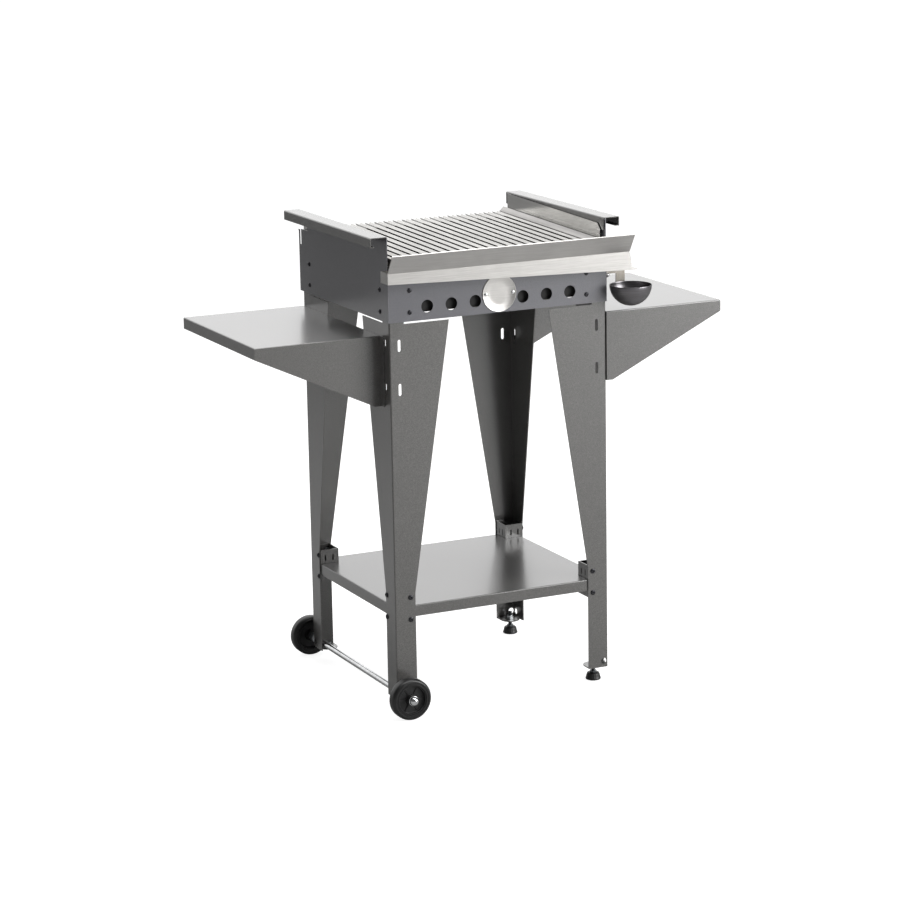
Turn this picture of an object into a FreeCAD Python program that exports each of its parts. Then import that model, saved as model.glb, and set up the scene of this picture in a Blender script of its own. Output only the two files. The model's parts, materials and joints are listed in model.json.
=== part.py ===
import FreeCAD, Part
import os
import re
import Sketcher

# A charcoal charbroiler grill on a four-legged sheet-metal stand: a firebox with a sloping
# grate of V bars, a grease gutter and drip bowl in front, two side shelves that hook on the
# legs, a lower shelf, two wheels on the left and two levelling feet on the right.
# Millimetres.  The origin is on the ground under the middle of the firebox, +Z is up,
# -Y is the front with the gutter and +X is the side with the drip bowl.

SIZES = [
    # firebox
    ("width", 455, "firebox, over its side panels"),
    ("depth", 410, "firebox, over its front and rear panels"),
    ("firebox_low", 752, "lower edge of the firebox above the ground"),
    ("panel_sheet", 1.5, "steel sheet of the firebox"),
    ("front_rise", 100, "height of the front panel"),
    ("rear_rise", 92, "height of the rear panel"),
    ("rear_flange", 10, "flange at each side of the rear panel, turned to the back"),
    ("air_radius", 12, "air holes of the front panel"),
    ("air_pitch", 49.5, "from one air hole to the next"),
    ("air_rise", 25.5, "air hole centres above the firebox's lower edge"),
    ("notch_run", 32, "notch in the upper rear corner of a side panel"),
    ("notch_drop", 36, "depth of that notch"),
    # handle rails along the top of the side panels
    ("rail_top", 912, "top of the handle rails above the ground"),
    ("rail_width", 32, "rail, beyond the side panel's inner face"),
    ("rail_lip", 18, "outer lip of a rail"),
    ("rail_return", 8, "return at the foot of the lip"),
    ("rail_root", 24, "inner flange of a rail"),
    ("rail_front_setback", 5, "rail's front end behind the front panel"),
    ("rail_rear_overhang", 9, "rail's rear end beyond the rear panel"),
    ("rail_bend", 2.5, "outer bend radius of a rail"),
    # legs
    ("stand_sheet", 2, "steel sheet of the legs and corner brackets"),
    ("leg_low", 28, "foot of the legs above the ground"),
    ("leg_gap", 4, "slit between the shoulder of a leg and the firebox"),
    ("leg_shoulder", 122, "width of a leg flange at its shoulder"),
    ("leg_ankle", 42, "width of a leg flange at its foot"),
    ("taper_start", 232, "height where a leg begins to widen"),
    ("riser_neck", 30, "leg corner where it passes the slit"),
    ("riser_width", 60, "leg corner behind the firebox panels"),
    ("riser_height", 68, "leg corner above the firebox's lower edge"),
    ("leg_bend", 2.5, "outer bend radius of a leg"),
    ("slot_inset", 20, "hanging slots, from the leg's corner"),
    ("slot_width", 6.5, "hanging slots"),
    ("slot_length", 23, "hanging slots"),
    ("slot_high", 708, "centre of the upper hanging slot"),
    ("slot_low", 625, "centre of the lower hanging slot"),
    ("face_screw_inset", 42, "panel screws, from the leg's corner, front and rear"),
    ("side_screw_inset", 36, "panel screws, from the leg's corner, sides"),
    ("screw_low", 17, "lower panel screws above the firebox's lower edge"),
    ("screw_high", 58, "upper panel screws above the firebox's lower edge"),
    ("panel_screw_radius", 2.5, "M5 panel screws"),
    # corner brackets and lower shelf
    ("bracket_width", 40.5, "bracket, from the leg's corner along X"),
    ("bracket_depth", 44.5, "bracket, from the leg's corner along Y"),
    ("bracket_low", 172, "lower end of the brackets"),
    ("bracket_height", 64, "corner brackets"),
    ("bracket_slot_width", 3, "slots in the bracket walls"),
    ("bracket_slot_height", 12, "slots in the bracket walls"),
    ("bracket_slot_step", 16.5, "from the lower row of those slots to the upper one"),
    ("bolt_radius", 3, "M6 bracket bolts"),
    ("bolt_face_inset", 32, "bracket bolts, from the leg's corner, front and rear"),
    ("bolt_side_inset", 37.8, "bracket bolts, from the leg's corner, sides"),
    ("bolt_high", 225, "upper bracket bolts"),
    ("bolt_low", 182, "lower bracket bolts"),
    ("shelf_top", 208, "top of the lower shelf"),
    ("shelf_sheet", 1.5, "steel sheet of all shelves"),
    ("shelf_lip", 22, "downturned lips of all shelves"),
    ("shelf_bend", 2, "outer bend radius of all shelves"),
    ("shelf_play", 0.5, "lower shelf, from the legs"),
    ("notch_play", 1, "lower shelf, from the corner brackets"),
    ("tongue_width", 8, "shelf tongues that rest in the bracket slots"),
    # side shelves
    ("wing_top", 722.5, "top of the left side shelf"),
    ("wing_step", 10, "top of the right side shelf above the left one"),
    ("wing_reach", 250, "side shelf, outwards from the legs"),
    ("wing_skirt", 133.5, "skirt of a side shelf at the leg"),
    ("wing_toe", 13, "level stretch at the foot of a skirt"),
    ("wing_flange", 22, "skirt, from the line of the hanging slots"),
    ("hang_play", 0.3, "side shelf, from the leg and from its slots"),
    ("hook_height", 9.5, "neck of a hook inside its slot"),
    ("hook_drop", 8, "nose of a hook below its slot"),
    ("hook_sheet", 2, "hooks"),
    # grate
    ("grate_front", 862.5, "top of the V bars at their front ends"),
    ("grate_slope", 1.5, "fall of the grate towards the gutter, degrees"),
    ("grate_overhang_front", 17, "V bars beyond the front panel"),
    ("grate_overhang_rear", 12, "V bars beyond the rear panel"),
    ("vee_width", 13, "V bars"),
    ("vee_depth", 9, "V bars"),
    ("vee_sheet", 1.2, "stainless sheet of the grate"),
    ("vee_pitch", 20, "from one V bar to the next"),
    ("vee_count", 21, "V bars"),
    ("edge_gap", 2, "edge strips of the grate, from its side plates"),
    ("cross_height", 8, "cross bars under the V bars"),
    ("cross_thick", 4, "cross bars under the V bars"),
    ("cross_inset", 25, "cross bars, from the firebox's front and rear"),
    ("plate_play", 2, "grate side plates, from the handle rails"),
    ("plate_rise", 36, "grate side plates above the V bars"),
    ("plate_setback", 15, "front end of the side plates behind the front panel"),
    ("plate_chamfer", 12, "corner cut off the side plates"),
    ("ledge_width", 14, "ledges that carry the grate"),
    ("ledge_drop", 18, "wall flange of a ledge under the grate"),
    ("tray_rail_drop", 10, "wall flange of a ledge under the fire tray"),
    ("seat_play", 0.3, "small gaps between stacked pieces"),
    # fire tray and charcoal grate
    ("tray_floor", 766, "underside of the fire tray"),
    ("tray_wall", 74, "height of the fire tray"),
    ("tray_play", 5, "fire tray, from the legs inside the firebox"),
    ("tray_slot_width", 8, "air slots in the tray floor"),
    ("tray_slot_length", 60, "air slots in the tray floor"),
    ("tray_rail_length", 270, "ledges that carry the fire tray"),
    ("rod_radius", 3, "rods of the charcoal grate"),
    ("rod_pitch", 26, "from one rod to the next"),
    ("rod_count", 15, "rods of the charcoal grate"),
    ("runner_height", 14, "runners of the charcoal grate"),
    ("runner_thick", 4, "runners of the charcoal grate"),
    ("runner_inset", 60, "runners, from the tray's side walls"),
    # gutter
    ("gutter_gap", 2.5, "gutter, from the front panel"),
    ("gutter_depth", 32.5, "gutter, front to back"),
    ("gutter_sheet", 1.2, "stainless sheet of the gutter"),
    ("gutter_left", 15, "gutter beyond the firebox on the left"),
    ("gutter_right", 31, "front wall of the gutter beyond the firebox on the right"),
    ("gutter_spout", 50, "floor of the gutter beyond the firebox on the right"),
    ("gutter_fold", 851, "fold between the gutter's front wall and its apron"),
    ("gutter_fall_left", 830, "underside of the gutter at its left end"),
    ("gutter_fall_right", 814, "underside of the gutter at the end of its spout"),
    ("apron_lean", 22, "apron, forwards"),
    ("apron_rise", 35, "apron, upwards"),
    ("tongue_drop", 10, "gutter tongues below the fold"),
    ("tongue_spread", 110, "gutter tongues, from the middle"),
    ("tongue_run", 30, "width of a gutter tongue"),
    ("tongue_reach", 18, "gutter tongues inside the firebox"),
    # drip bowl
    ("bowl_radius", 40.5, "drip bowl"),
    ("bowl_sheet", 1, "wall of the drip bowl"),
    ("bowl_rim", 783.5, "rim of the drip bowl"),
    ("bowl_offset", 41.5, "bowl centre, from the firebox's side"),
    ("hanger_sheet", 2, "hanger of the drip bowl"),
    ("hanger_low", 788, "lower edge of the hanger's ear"),
    ("strap_drop", 18, "strap behind the bowl, below the ear"),
    ("hanger_height", 24, "ear of the hanger"),
    ("hanger_ear", 20, "part of the hanger that lies on the side panel"),
    ("hanger_strap", 19, "part of the hanger behind the bowl"),
    ("stud_height", 800, "stud that carries the hanger"),
    ("stud_radius", 3, "stud that carries the hanger"),
    # badge
    ("badge_radius", 35, "blank badge"),
    ("badge_thick", 1.5, "blank badge"),
    ("badge_rise", 36, "badge centre above the firebox's lower edge"),
    ("rivet_radius", 2, "badge rivets"),
    # wheels
    ("wheel_radius", 40, "wheels"),
    ("wheel_width", 25, "wheels"),
    ("wheel_gap", 26.5, "wheel, from the leg"),
    ("tyre_inner", 29, "seat of the tyre on the hub"),
    ("axle_radius", 6, "axle"),
    ("axle_inset", 9, "axle, from the leg's corner"),
    ("axle_play", 0.08, "hub bore, around the axle"),
    ("leg_bore_play", 0.2, "axle bores of the legs, around the axle"),
    ("hub_spokes", 6, "ribs of a hub"),
    # levelling feet
    ("foot_inset", 21.5, "levelling feet, from the leg's corner"),
    ("foot_radius", 15, "levelling feet at the ground"),
    ("foot_height", 14, "base of a levelling foot"),
    ("foot_thread", 4, "threaded stem of a levelling foot"),
    ("foot_stem", 46, "top of the stem above the ground"),
    ("foot_play", 0.08, "stem, from the bore of the leg's toe and its nut"),
    ("toe_radius", 20, "rounded toe at the foot of a leg"),
]

LEFT, RIGHT = -1, 1
FRONT, REAR = -1, 1
SIDES = {"left": LEFT, "right": RIGHT}
ENDS = {"front": FRONT, "rear": REAR}

doc = FreeCAD.newDocument("Grill")
sheet = doc.addObject("Spreadsheet::Sheet", "Sizes")
for row, (alias, value, comment) in enumerate(SIZES, start=1):
    sheet.set(f"A{row}", comment)
    sheet.set(f"B{row}", str(value))
    sheet.setAlias(f"B{row}", alias)
doc.recompute()

ALIASES = {alias for alias, value, comment in SIZES}


def full(text):
    """An expression with every size spelt as a cell of the sheet."""
    return re.sub(r"[a-z_]+", lambda m: "Sizes." + m[0] if m[0] in ALIASES else m[0], str(text))


def number(text):
    return float(sheet.evalExpression(full(text)))


def bind(thing, prop, text):
    thing.setExpression(prop, full(text))


# ---------------------------------------------------------------- sketches and bodies

AXES = {"XY": 1, "XZ": -1, "YZ": 1}    # a plane's normal, along or against its axis


def new_body(label):
    body = doc.addObject("PartDesign::Body", label)
    body.Label = label
    return body


def new_sketch(body, plane, at, origin=("0", "0")):
    """A sketch on an origin plane of its own body, moved to the height `at`."""
    sketch = body.newObject("Sketcher::SketchObject", body.Name + "_sketch")
    base = [f for f in body.Origin.OriginFeatures if f.Role == plane + "_Plane"][0]
    sketch.AttachmentSupport = [(base, "")]
    sketch.MapMode = "FlatFace"
    bind(sketch, "AttachmentOffset.Base.x", origin[0])
    bind(sketch, "AttachmentOffset.Base.y", origin[1])
    bind(sketch, "AttachmentOffset.Base.z", f"{AXES[plane]} * ({at})")
    return sketch


def pin_point(sketch, element, end, x, y):
    """Ties one point of the sketch to two expressions."""
    for kind, text in (("DistanceX", x), ("DistanceY", y)):
        made = sketch.addConstraint(Sketcher.Constraint(kind, -1, 1, element, end, number(text)))
        bind(sketch, f"Constraints[{made}]", text)


def draw_outline(sketch, points):
    spots = [FreeCAD.Vector(number(x), number(y), 0) for x, y in points]
    first = sketch.GeometryCount
    count = len(points)
    for i in range(count):
        sketch.addGeometry(Part.LineSegment(spots[i], spots[(i + 1) % count]), False)
    for i in range(count):
        after = first + (i + 1) % count
        sketch.addConstraint(Sketcher.Constraint("Coincident", first + i, 2, after, 1))
    for i, (x, y) in enumerate(points):
        pin_point(sketch, first + i, 1, x, y)


def draw_circle(sketch, x, y, radius):
    spot = FreeCAD.Vector(number(x), number(y), 0)
    made = sketch.addGeometry(Part.Circle(spot, FreeCAD.Vector(0, 0, 1), number(radius)), False)
    pin_point(sketch, made, 3, x, y)
    size = sketch.addConstraint(Sketcher.Constraint("Radius", made, number(radius)))
    bind(sketch, f"Constraints[{size}]", radius)


def draw_slot(sketch, x, y, width, length):
    """An upright slot with round ends."""
    radius = f"({width}) / 2"
    reach = f"(({length}) - ({width})) / 2"
    r = number(radius)
    low = FreeCAD.Vector(number(x), number(f"({y}) - {reach}"), 0)
    high = FreeCAD.Vector(number(x), number(f"({y}) + {reach}"), 0)
    out = FreeCAD.Vector(r, 0, 0)
    half_turn = 3.141592653589793
    up = FreeCAD.Vector(0, 0, 1)
    top = sketch.addGeometry(Part.ArcOfCircle(Part.Circle(high, up, r), 0, half_turn), False)
    left = sketch.addGeometry(Part.LineSegment(high - out, low - out), False)
    bottom_circle = Part.Circle(low, up, r)
    bottom = sketch.addGeometry(Part.ArcOfCircle(bottom_circle, half_turn, 2 * half_turn), False)
    right = sketch.addGeometry(Part.LineSegment(low + out, high + out), False)
    ring = [top, left, bottom, right]
    for i in range(4):
        sketch.addConstraint(Sketcher.Constraint("Tangent", ring[i], 2, ring[(i + 1) % 4], 1))
    sketch.addConstraint(Sketcher.Constraint("Equal", top, bottom))
    pin_point(sketch, top, 3, x, f"({y}) + {reach}")
    pin_point(sketch, bottom, 3, x, f"({y}) - {reach}")
    size = sketch.addConstraint(Sketcher.Constraint("Radius", top, r))
    bind(sketch, f"Constraints[{size}]", radius)


def draw(sketch, outlines=(), circles=(), slots=()):
    for points in outlines:
        draw_outline(sketch, points)
    for x, y, radius in circles:
        draw_circle(sketch, x, y, radius)
    for x, y, width, length in slots:
        draw_slot(sketch, x, y, width, length)


def add_slab(body, plane, at, thick, outline, windows=(), circles=(), slots=()):
    """A pad of `thick`, half to each side of the height `at`."""
    sketch = new_sketch(body, plane, at)
    draw(sketch, [outline, *windows], circles, slots)
    pad = body.newObject("PartDesign::Pad", body.Name + "_pad")
    pad.Profile = sketch
    bind(pad, "Length", thick)
    pad.Midplane = True
    return pad


def add_disc(body, plane, at, thick, x, y, radius):
    sketch = new_sketch(body, plane, at)
    draw_circle(sketch, x, y, radius)
    pad = body.newObject("PartDesign::Pad", body.Name + "_disc")
    pad.Profile = sketch
    bind(pad, "Length", thick)
    pad.Midplane = True
    return pad


def cut_through(body, plane, at, thick, outlines=(), circles=(), slots=()):
    """A pocket of `thick`, half to each side of the height `at`; it must remove metal."""
    doc.recompute()
    before = body.Shape.Volume
    sketch = new_sketch(body, plane, at)
    draw(sketch, outlines, circles, slots)
    pocket = body.newObject("PartDesign::Pocket", body.Name + "_pocket")
    pocket.Profile = sketch
    bind(pocket, "Length", thick)
    pocket.Midplane = True
    doc.recompute()
    if body.Shape.Volume > before - 1e-3:
        raise RuntimeError(body.Label + ": a pocket removes nothing")
    return pocket


def rectangle(x, y, wide, high):
    """Four corners around the middle (x, y)."""
    return [(f"{x} + {i} * ({wide}) / 2", f"{y} + {j} * ({high}) / 2")
            for i, j in ((-1, -1), (1, -1), (1, 1), (-1, 1))]


def slab(label, plane, at, thick, outline, windows=(), circles=(), slots=()):
    body = new_body(label)
    add_slab(body, plane, at, thick, outline, windows, circles, slots)
    return body


def turned(label, plane, at, origin, axis, outline):
    """A body turned from an outline about the sketch's own horizontal or vertical axis."""
    body = new_body(label)
    sketch = new_sketch(body, plane, at, origin)
    draw_outline(sketch, outline)
    made = body.newObject("PartDesign::Revolution", label + "_turned")
    made.Profile = sketch
    made.ReferenceAxis = (sketch, [axis])
    made.Angle = 360
    return body


def round_edges(body, radius, chosen):
    """Rounds the outer bends: every straight edge that `chosen(start, end)` accepts."""
    doc.recompute()
    tip = body.Tip
    names = []
    for i, edge in enumerate(tip.Shape.Edges, start=1):
        if len(edge.Vertexes) == 2 and edge.Curve.TypeId == "Part::GeomLine":
            start, end = (vertex.Point for vertex in edge.Vertexes)
            if chosen(start, end):
                names.append(f"Edge{i}")
    if not names:
        raise RuntimeError(body.Label + ": no edge to round")
    made = body.newObject("PartDesign::Fillet", body.Name + "_bends")
    made.Base = (tip, names)
    bind(made, "Radius", radius)
    return made


def near(a, text):
    return abs(a - number(text)) < 0.01


def both(vectors, axis, text):
    return all(near(getattr(v, axis), text) for v in vectors)


# ---------------------------------------------------------------- primitives

def place(thing, x, y, z):
    bind(thing, "Placement.Base.x", x)
    bind(thing, "Placement.Base.y", y)
    bind(thing, "Placement.Base.z", z)


TURNS = {
    "X": FreeCAD.Rotation(FreeCAD.Vector(0, 1, 0), 90),
    "-X": FreeCAD.Rotation(FreeCAD.Vector(0, 1, 0), -90),
    "Y": FreeCAD.Rotation(FreeCAD.Vector(1, 0, 0), -90),
    "-Y": FreeCAD.Rotation(FreeCAD.Vector(1, 0, 0), 90),
    "Z": FreeCAD.Rotation(),
}


def cylinder(label, axis, radius, length, x, y, z):
    made = doc.addObject("Part::Cylinder", label)
    bind(made, "Radius", radius)
    bind(made, "Height", length)
    made.Placement.Rotation = TURNS[axis]
    place(made, x, y, z)
    return made


def box(label, wide, deep, high, x, y, z):
    made = doc.addObject("Part::Box", label)
    bind(made, "Length", wide)
    bind(made, "Width", deep)
    bind(made, "Height", high)
    place(made, x, y, z)
    return made


def cut(label, base, tool):
    made = doc.addObject("Part::Cut", label)
    made.Base = base
    made.Tool = tool
    return made


def group(label, pieces):
    """Several separate solids of one kind in one node."""
    made = doc.addObject("Part::Compound", label)
    made.Label = label
    made.Links = pieces
    return made


def fuse(label, pieces):
    made = doc.addObject("Part::MultiFuse", label)
    made.Label = label
    made.Shapes = pieces
    return made


# ---------------------------------------------------------------- shared lines

LEG_X = "(width / 2 - panel_sheet)"
LEG_Y = "(depth / 2 - panel_sheet)"
FIREBOX_X = "(width / 2)"
FIREBOX_Y = "(depth / 2)"
PANEL_IN_X = "(width / 2 - panel_sheet)"
LEG_IN_X = f"({LEG_X} - stand_sheet)"
LEG_IN_Y = f"({LEG_Y} - stand_sheet)"
SHOULDER = "(firebox_low - leg_gap)"
RISER_TOP = "(firebox_low + riser_height)"
BOWL_X = f"({FIREBOX_X} + bowl_offset)"
BOWL_Y = f"(-({FIREBOX_Y} + gutter_gap + gutter_depth / 2))"
STUD_Y = f"({BOWL_Y} + bowl_radius - stud_radius * 2.7)"
SLOTS = ("slot_high", "slot_low")
SCREWS = ("firebox_low + screw_low", "firebox_low + screw_high")
BOLTS = ("bolt_high", "bolt_low")

nodes = []


# ---------------------------------------------------------------- legs

def leg_flange(corner, inward):
    """A leg flange: foot, taper, shoulder, neck and the riser behind the panel."""
    def at(run):
        return f"{corner} + {inward} * ({run})"
    return [
        (at("0"), "leg_low"),
        (at("leg_ankle"), "leg_low"),
        (at("leg_ankle"), "taper_start"),
        (at("leg_shoulder"), SHOULDER),
        (at("riser_neck"), SHOULDER),
        (at("riser_neck"), "firebox_low + leg_gap"),
        (at("riser_width"), "firebox_low + leg_gap * 2"),
        (at("riser_width"), RISER_TOP),
        (at("0"), RISER_TOP),
    ]


def make_leg(end, side):
    sx, sy = SIDES[side], ENDS[end]
    corner_x, corner_y = f"{sx} * {LEG_X}", f"{sy} * {LEG_Y}"
    body = new_body(f"leg_{end}_{side}")
    face_holes = [(f"{corner_x} - {sx} * face_screw_inset", z, "panel_screw_radius") for z in SCREWS]
    face_holes += [(f"{corner_x} - {sx} * bolt_face_inset", z, "bolt_radius") for z in BOLTS]
    face_holes += [(f"{corner_x} - {sx} * axle_inset", "wheel_radius", "axle_radius + leg_bore_play")]
    side_holes = [(f"{corner_y} - {sy} * side_screw_inset", z, "panel_screw_radius") for z in SCREWS]
    side_holes += [(f"{corner_y} - {sy} * bolt_side_inset", z, "bolt_radius") for z in BOLTS]
    side_holes += [(f"{corner_y} - {sy} * axle_inset", "wheel_radius", "axle_radius + leg_bore_play")]
    if (end, side) == ("front", "right"):
        side_holes.append((STUD_Y, "stud_height", "stud_radius"))
    face_slots = [(f"{corner_x} - {sx} * slot_inset", z, "slot_width", "slot_length") for z in SLOTS]
    side_slots = [(f"{corner_y} - {sy} * slot_inset", z, "slot_width", "slot_length") for z in SLOTS]
    add_slab(body, "XZ", f"{sy} * ({LEG_Y} - stand_sheet / 2)", "stand_sheet",
             leg_flange(corner_x, -sx), circles=face_holes, slots=face_slots)
    add_slab(body, "YZ", f"{sx} * ({LEG_X} - stand_sheet / 2)", "stand_sheet",
             leg_flange(corner_y, -sy), circles=side_holes, slots=side_slots)
    # the toe, turned inwards from the face flange, with a rounded end
    toe = "leg_low + stand_sheet / 2"
    toe_x, toe_y = f"{corner_x} - {sx} * foot_inset", f"{corner_y} - {sy} * foot_inset"
    add_slab(body, "XY", toe, "stand_sheet",
             [(f"{toe_x} - toe_radius + 0.5", corner_y), (f"{toe_x} + toe_radius - 0.5", corner_y),
              (f"{toe_x} + toe_radius - 0.5", toe_y), (f"{toe_x} - toe_radius + 0.5", toe_y)])
    add_disc(body, "XY", toe, "stand_sheet", toe_x, toe_y, "toe_radius - 0.5")
    cut_through(body, "XY", toe, "stand_sheet * 2",
                circles=[(toe_x, toe_y, "foot_thread + foot_play")])
    round_edges(body, "leg_bend",
                lambda a, b: both((a, b), "x", corner_x) and both((a, b), "y", corner_y))
    return body


for end in ENDS:
    for side in SIDES:
        nodes.append(make_leg(end, side))


# ---------------------------------------------------------------- corner brackets

def make_bracket(end, side):
    """A folded channel that closes the leg's angle into a box around the shelf's corner."""
    sx, sy = SIDES[side], ENDS[end]

    def x_at(run):
        return f"{sx} * ({LEG_X} - ({run}))"

    def y_at(run):
        return f"{sy} * ({LEG_Y} - ({run}))"

    body = new_body(f"corner_bracket_{end}_{side}")
    bracket_path = [
        (x_at("bolt_face_inset - 12"), y_at("stand_sheet")),
        (x_at("bracket_width"), y_at("stand_sheet")),
        (x_at("bracket_width"), y_at("bracket_depth")),
        (x_at("stand_sheet"), y_at("bracket_depth")),
        (x_at("stand_sheet"), y_at("bolt_side_inset - 12")),
        (x_at("stand_sheet * 2"), y_at("bolt_side_inset - 12")),
        (x_at("stand_sheet * 2"), y_at("bracket_depth - stand_sheet")),
        (x_at("bracket_width - stand_sheet"), y_at("bracket_depth - stand_sheet")),
        (x_at("bracket_width - stand_sheet"), y_at("stand_sheet * 2")),
        (x_at("bolt_face_inset - 12"), y_at("stand_sheet * 2")),
    ]
    add_slab(body, "XY", "bracket_low + bracket_height / 2", "bracket_height", bracket_path)
    cut_through(body, "XZ", y_at("stand_sheet * 1.5"), "stand_sheet * 2",
                circles=[(x_at("bolt_face_inset"), z, "bolt_radius") for z in BOLTS])
    cut_through(body, "YZ", x_at("stand_sheet * 1.5"), "stand_sheet * 2",
                circles=[(y_at("bolt_side_inset"), z, "bolt_radius") for z in BOLTS])
    # two rows of slots: the shelf's tongues pass through the lower one, the upper one is spare
    tongue_z = "shelf_top - shelf_sheet - tongue_width / 2"
    rows = (tongue_z, f"{tongue_z} + bracket_slot_step")
    cut_through(body, "XZ", y_at("bracket_depth"), "stand_sheet * 3",
                outlines=[rectangle(x_at(run), z, "bracket_slot_width", "bracket_slot_height")
                          for run in ("bracket_width * 0.3", "bracket_width * 0.7") for z in rows])
    cut_through(body, "YZ", x_at("bracket_width"), "stand_sheet * 3",
                outlines=[rectangle(y_at(run), z, "bracket_slot_width", "bracket_slot_height")
                          for run in ("bracket_depth * 0.35", "bracket_depth * 0.7") for z in rows])
    return body


for end in ENDS:
    for side in SIDES:
        nodes.append(make_bracket(end, side))


# ---------------------------------------------------------------- lower shelf

def make_lower_shelf():
    """A tray turned upside down, notched around the four bracket boxes."""
    body = new_body("lower_shelf")
    out_x = f"({LEG_IN_X} - shelf_play)"
    out_y = f"({LEG_IN_Y} - shelf_play)"
    in_x = f"({LEG_X} - bracket_width - notch_play)"
    in_y = f"({LEG_Y} - bracket_depth - notch_play)"
    plan = []
    for sx, sy in ((-1, -1), (1, -1), (1, 1), (-1, 1)):
        corner = [(f"{sx} * {out_x}", f"{sy} * {in_y}"), (f"{sx} * {in_x}", f"{sy} * {in_y}"),
                  (f"{sx} * {in_x}", f"{sy} * {out_y}")]
        plan += corner if sx == sy else corner[::-1]
    add_slab(body, "XY", "shelf_top - shelf_sheet / 2", "shelf_sheet", plan)
    lip_z = "shelf_top - shelf_lip / 2"
    for s in (-1, 1):
        add_slab(body, "XZ", f"{s} * ({out_y} - shelf_sheet / 2)", "shelf_sheet",
                 rectangle("0", lip_z, f"2 * {in_x}", "shelf_lip"))
        add_slab(body, "YZ", f"{s} * ({out_x} - shelf_sheet / 2)", "shelf_sheet",
                 rectangle("0", lip_z, f"2 * {in_y}", "shelf_lip"))
    # tongues that pass through the slots of the bracket walls
    tongue_z = "shelf_top - shelf_sheet - tongue_width / 2"
    reach = "(notch_play + stand_sheet * 2)"
    for sx in (-1, 1):
        for sy in (-1, 1):
            slot_x = f"{sx} * ({LEG_X} - bracket_width * 0.7)"
            slot_y = f"{sy} * ({LEG_Y} - bracket_depth * 0.7)"
            add_slab(body, "YZ", slot_x, "shelf_sheet",
                     rectangle(f"{sy} * {in_y}", tongue_z, f"2 * {reach}", "tongue_width"))
            add_slab(body, "XZ", slot_y, "shelf_sheet",
                     rectangle(f"{sx} * {in_x}", tongue_z, f"2 * {reach}", "tongue_width"))
    round_edges(body, "shelf_bend",
                lambda a, b: both((a, b), "z", "shelf_top")
                and any(both((a, b), "x", f"{s} * {out_x}") or both((a, b), "y", f"{s} * {out_y}")
                        for s in (-1, 1)))
    return body


nodes.append(make_lower_shelf())


# ---------------------------------------------------------------- side shelves

def make_side_shelf(side):
    """A tray open at the leg, with tapered skirts and two hooks on each skirt's flange.

    The right shelf is the left one turned half round, and hangs a little higher."""
    sx = SIDES[side]
    turn = -sx
    top = {"left": "wing_top", "right": "(wing_top + wing_step)"}[side]
    inner, outer = f"({LEG_X} + hang_play)", f"({LEG_X} + hang_play + wing_reach)"
    body = new_body(f"side_shelf_{side}")
    slot_line = f"({LEG_Y} - slot_inset)"
    skirts = {end: f"({ENDS[end]} * {slot_line} + {turn} * wing_flange)" for end in ENDS}
    mid_y = f"({skirts['front']} + {skirts['rear']}) / 2"
    run_y = f"({skirts['rear']} - {skirts['front']} + shelf_sheet)"
    add_slab(body, "XY", f"{top} - shelf_sheet / 2", "shelf_sheet",
             rectangle(f"{sx} * ({inner} + {outer}) / 2", mid_y, "wing_reach", run_y))
    skirt = [
        (f"{sx} * {inner}", top), (f"{sx} * {outer}", top),
        (f"{sx} * {outer}", f"{top} - shelf_lip"),
        (f"{sx} * ({inner} + wing_toe)", f"{top} - wing_skirt"),
        (f"{sx} * {inner}", f"{top} - wing_skirt"),
    ]
    for end in ENDS:
        add_slab(body, "XZ", skirts[end], "shelf_sheet", skirt)
    add_slab(body, "YZ", f"{sx} * ({outer} - shelf_sheet / 2)", "shelf_sheet",
             rectangle(mid_y, f"{top} - shelf_lip / 2", run_y, "shelf_lip"))
    for end in ENDS:
        hook_y = f"({ENDS[end]} * {slot_line})"
        flange_end = f"({hook_y} + {turn} * slot_width / 2)"
        corner_y = f"({flange_end} + {turn} * slot_width)"
        hook_face = f"({hook_y} - {turn} * hook_sheet / 2)"
        root = f"({flange_end} + {turn} * 1)"
        add_slab(body, "YZ", f"{sx} * ({inner} + shelf_sheet / 2)", "shelf_sheet", [
            (skirts[end], top), (corner_y, top), (flange_end, f"{top} - slot_width"),
            (flange_end, f"{top} - wing_skirt + slot_width"),
            (corner_y, f"{top} - wing_skirt"), (skirts[end], f"{top} - wing_skirt")])
        for slot in SLOTS:
            rest = f"({slot} - slot_length / 2 + hang_play)"
            low, high = rest, f"({rest} + hook_height)"
            add_slab(body, "YZ", f"{sx} * ({inner} + shelf_sheet / 2)", "shelf_sheet", [
                (hook_face, low), (root, low), (root, high), (hook_face, high)])
            behind = f"({LEG_IN_X} - hang_play)"
            nose = f"({behind} - hook_sheet)"
            add_slab(body, "XZ", hook_y, "hook_sheet", [
                (f"{sx} * ({inner} + shelf_sheet)", low), (f"{sx} * {behind}", low),
                (f"{sx} * {behind}", f"{low} - hook_drop"), (f"{sx} * {nose}", f"{low} - hook_drop"),
                (f"{sx} * {nose}", high), (f"{sx} * ({inner} + shelf_sheet)", high)])
    faces_y = [f"{skirts['front']} - shelf_sheet / 2", f"{skirts['rear']} + shelf_sheet / 2"]
    round_edges(body, "shelf_bend",
                lambda a, b: both((a, b), "z", top)
                and (both((a, b), "x", f"{sx} * {outer}")
                     or any(both((a, b), "y", face) for face in faces_y)
                     and min(abs(a.x), abs(b.x)) < max(abs(a.x), abs(b.x)) - 50))
    return body


for side in SIDES:
    nodes.append(make_side_shelf(side))


# ---------------------------------------------------------------- firebox

LEDGE_TOP = ("(grate_front + (grate_overhang_front + cross_inset) * tan(grate_slope * 1 deg)"
             " - vee_depth - cross_height - seat_play * 2)")


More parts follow.
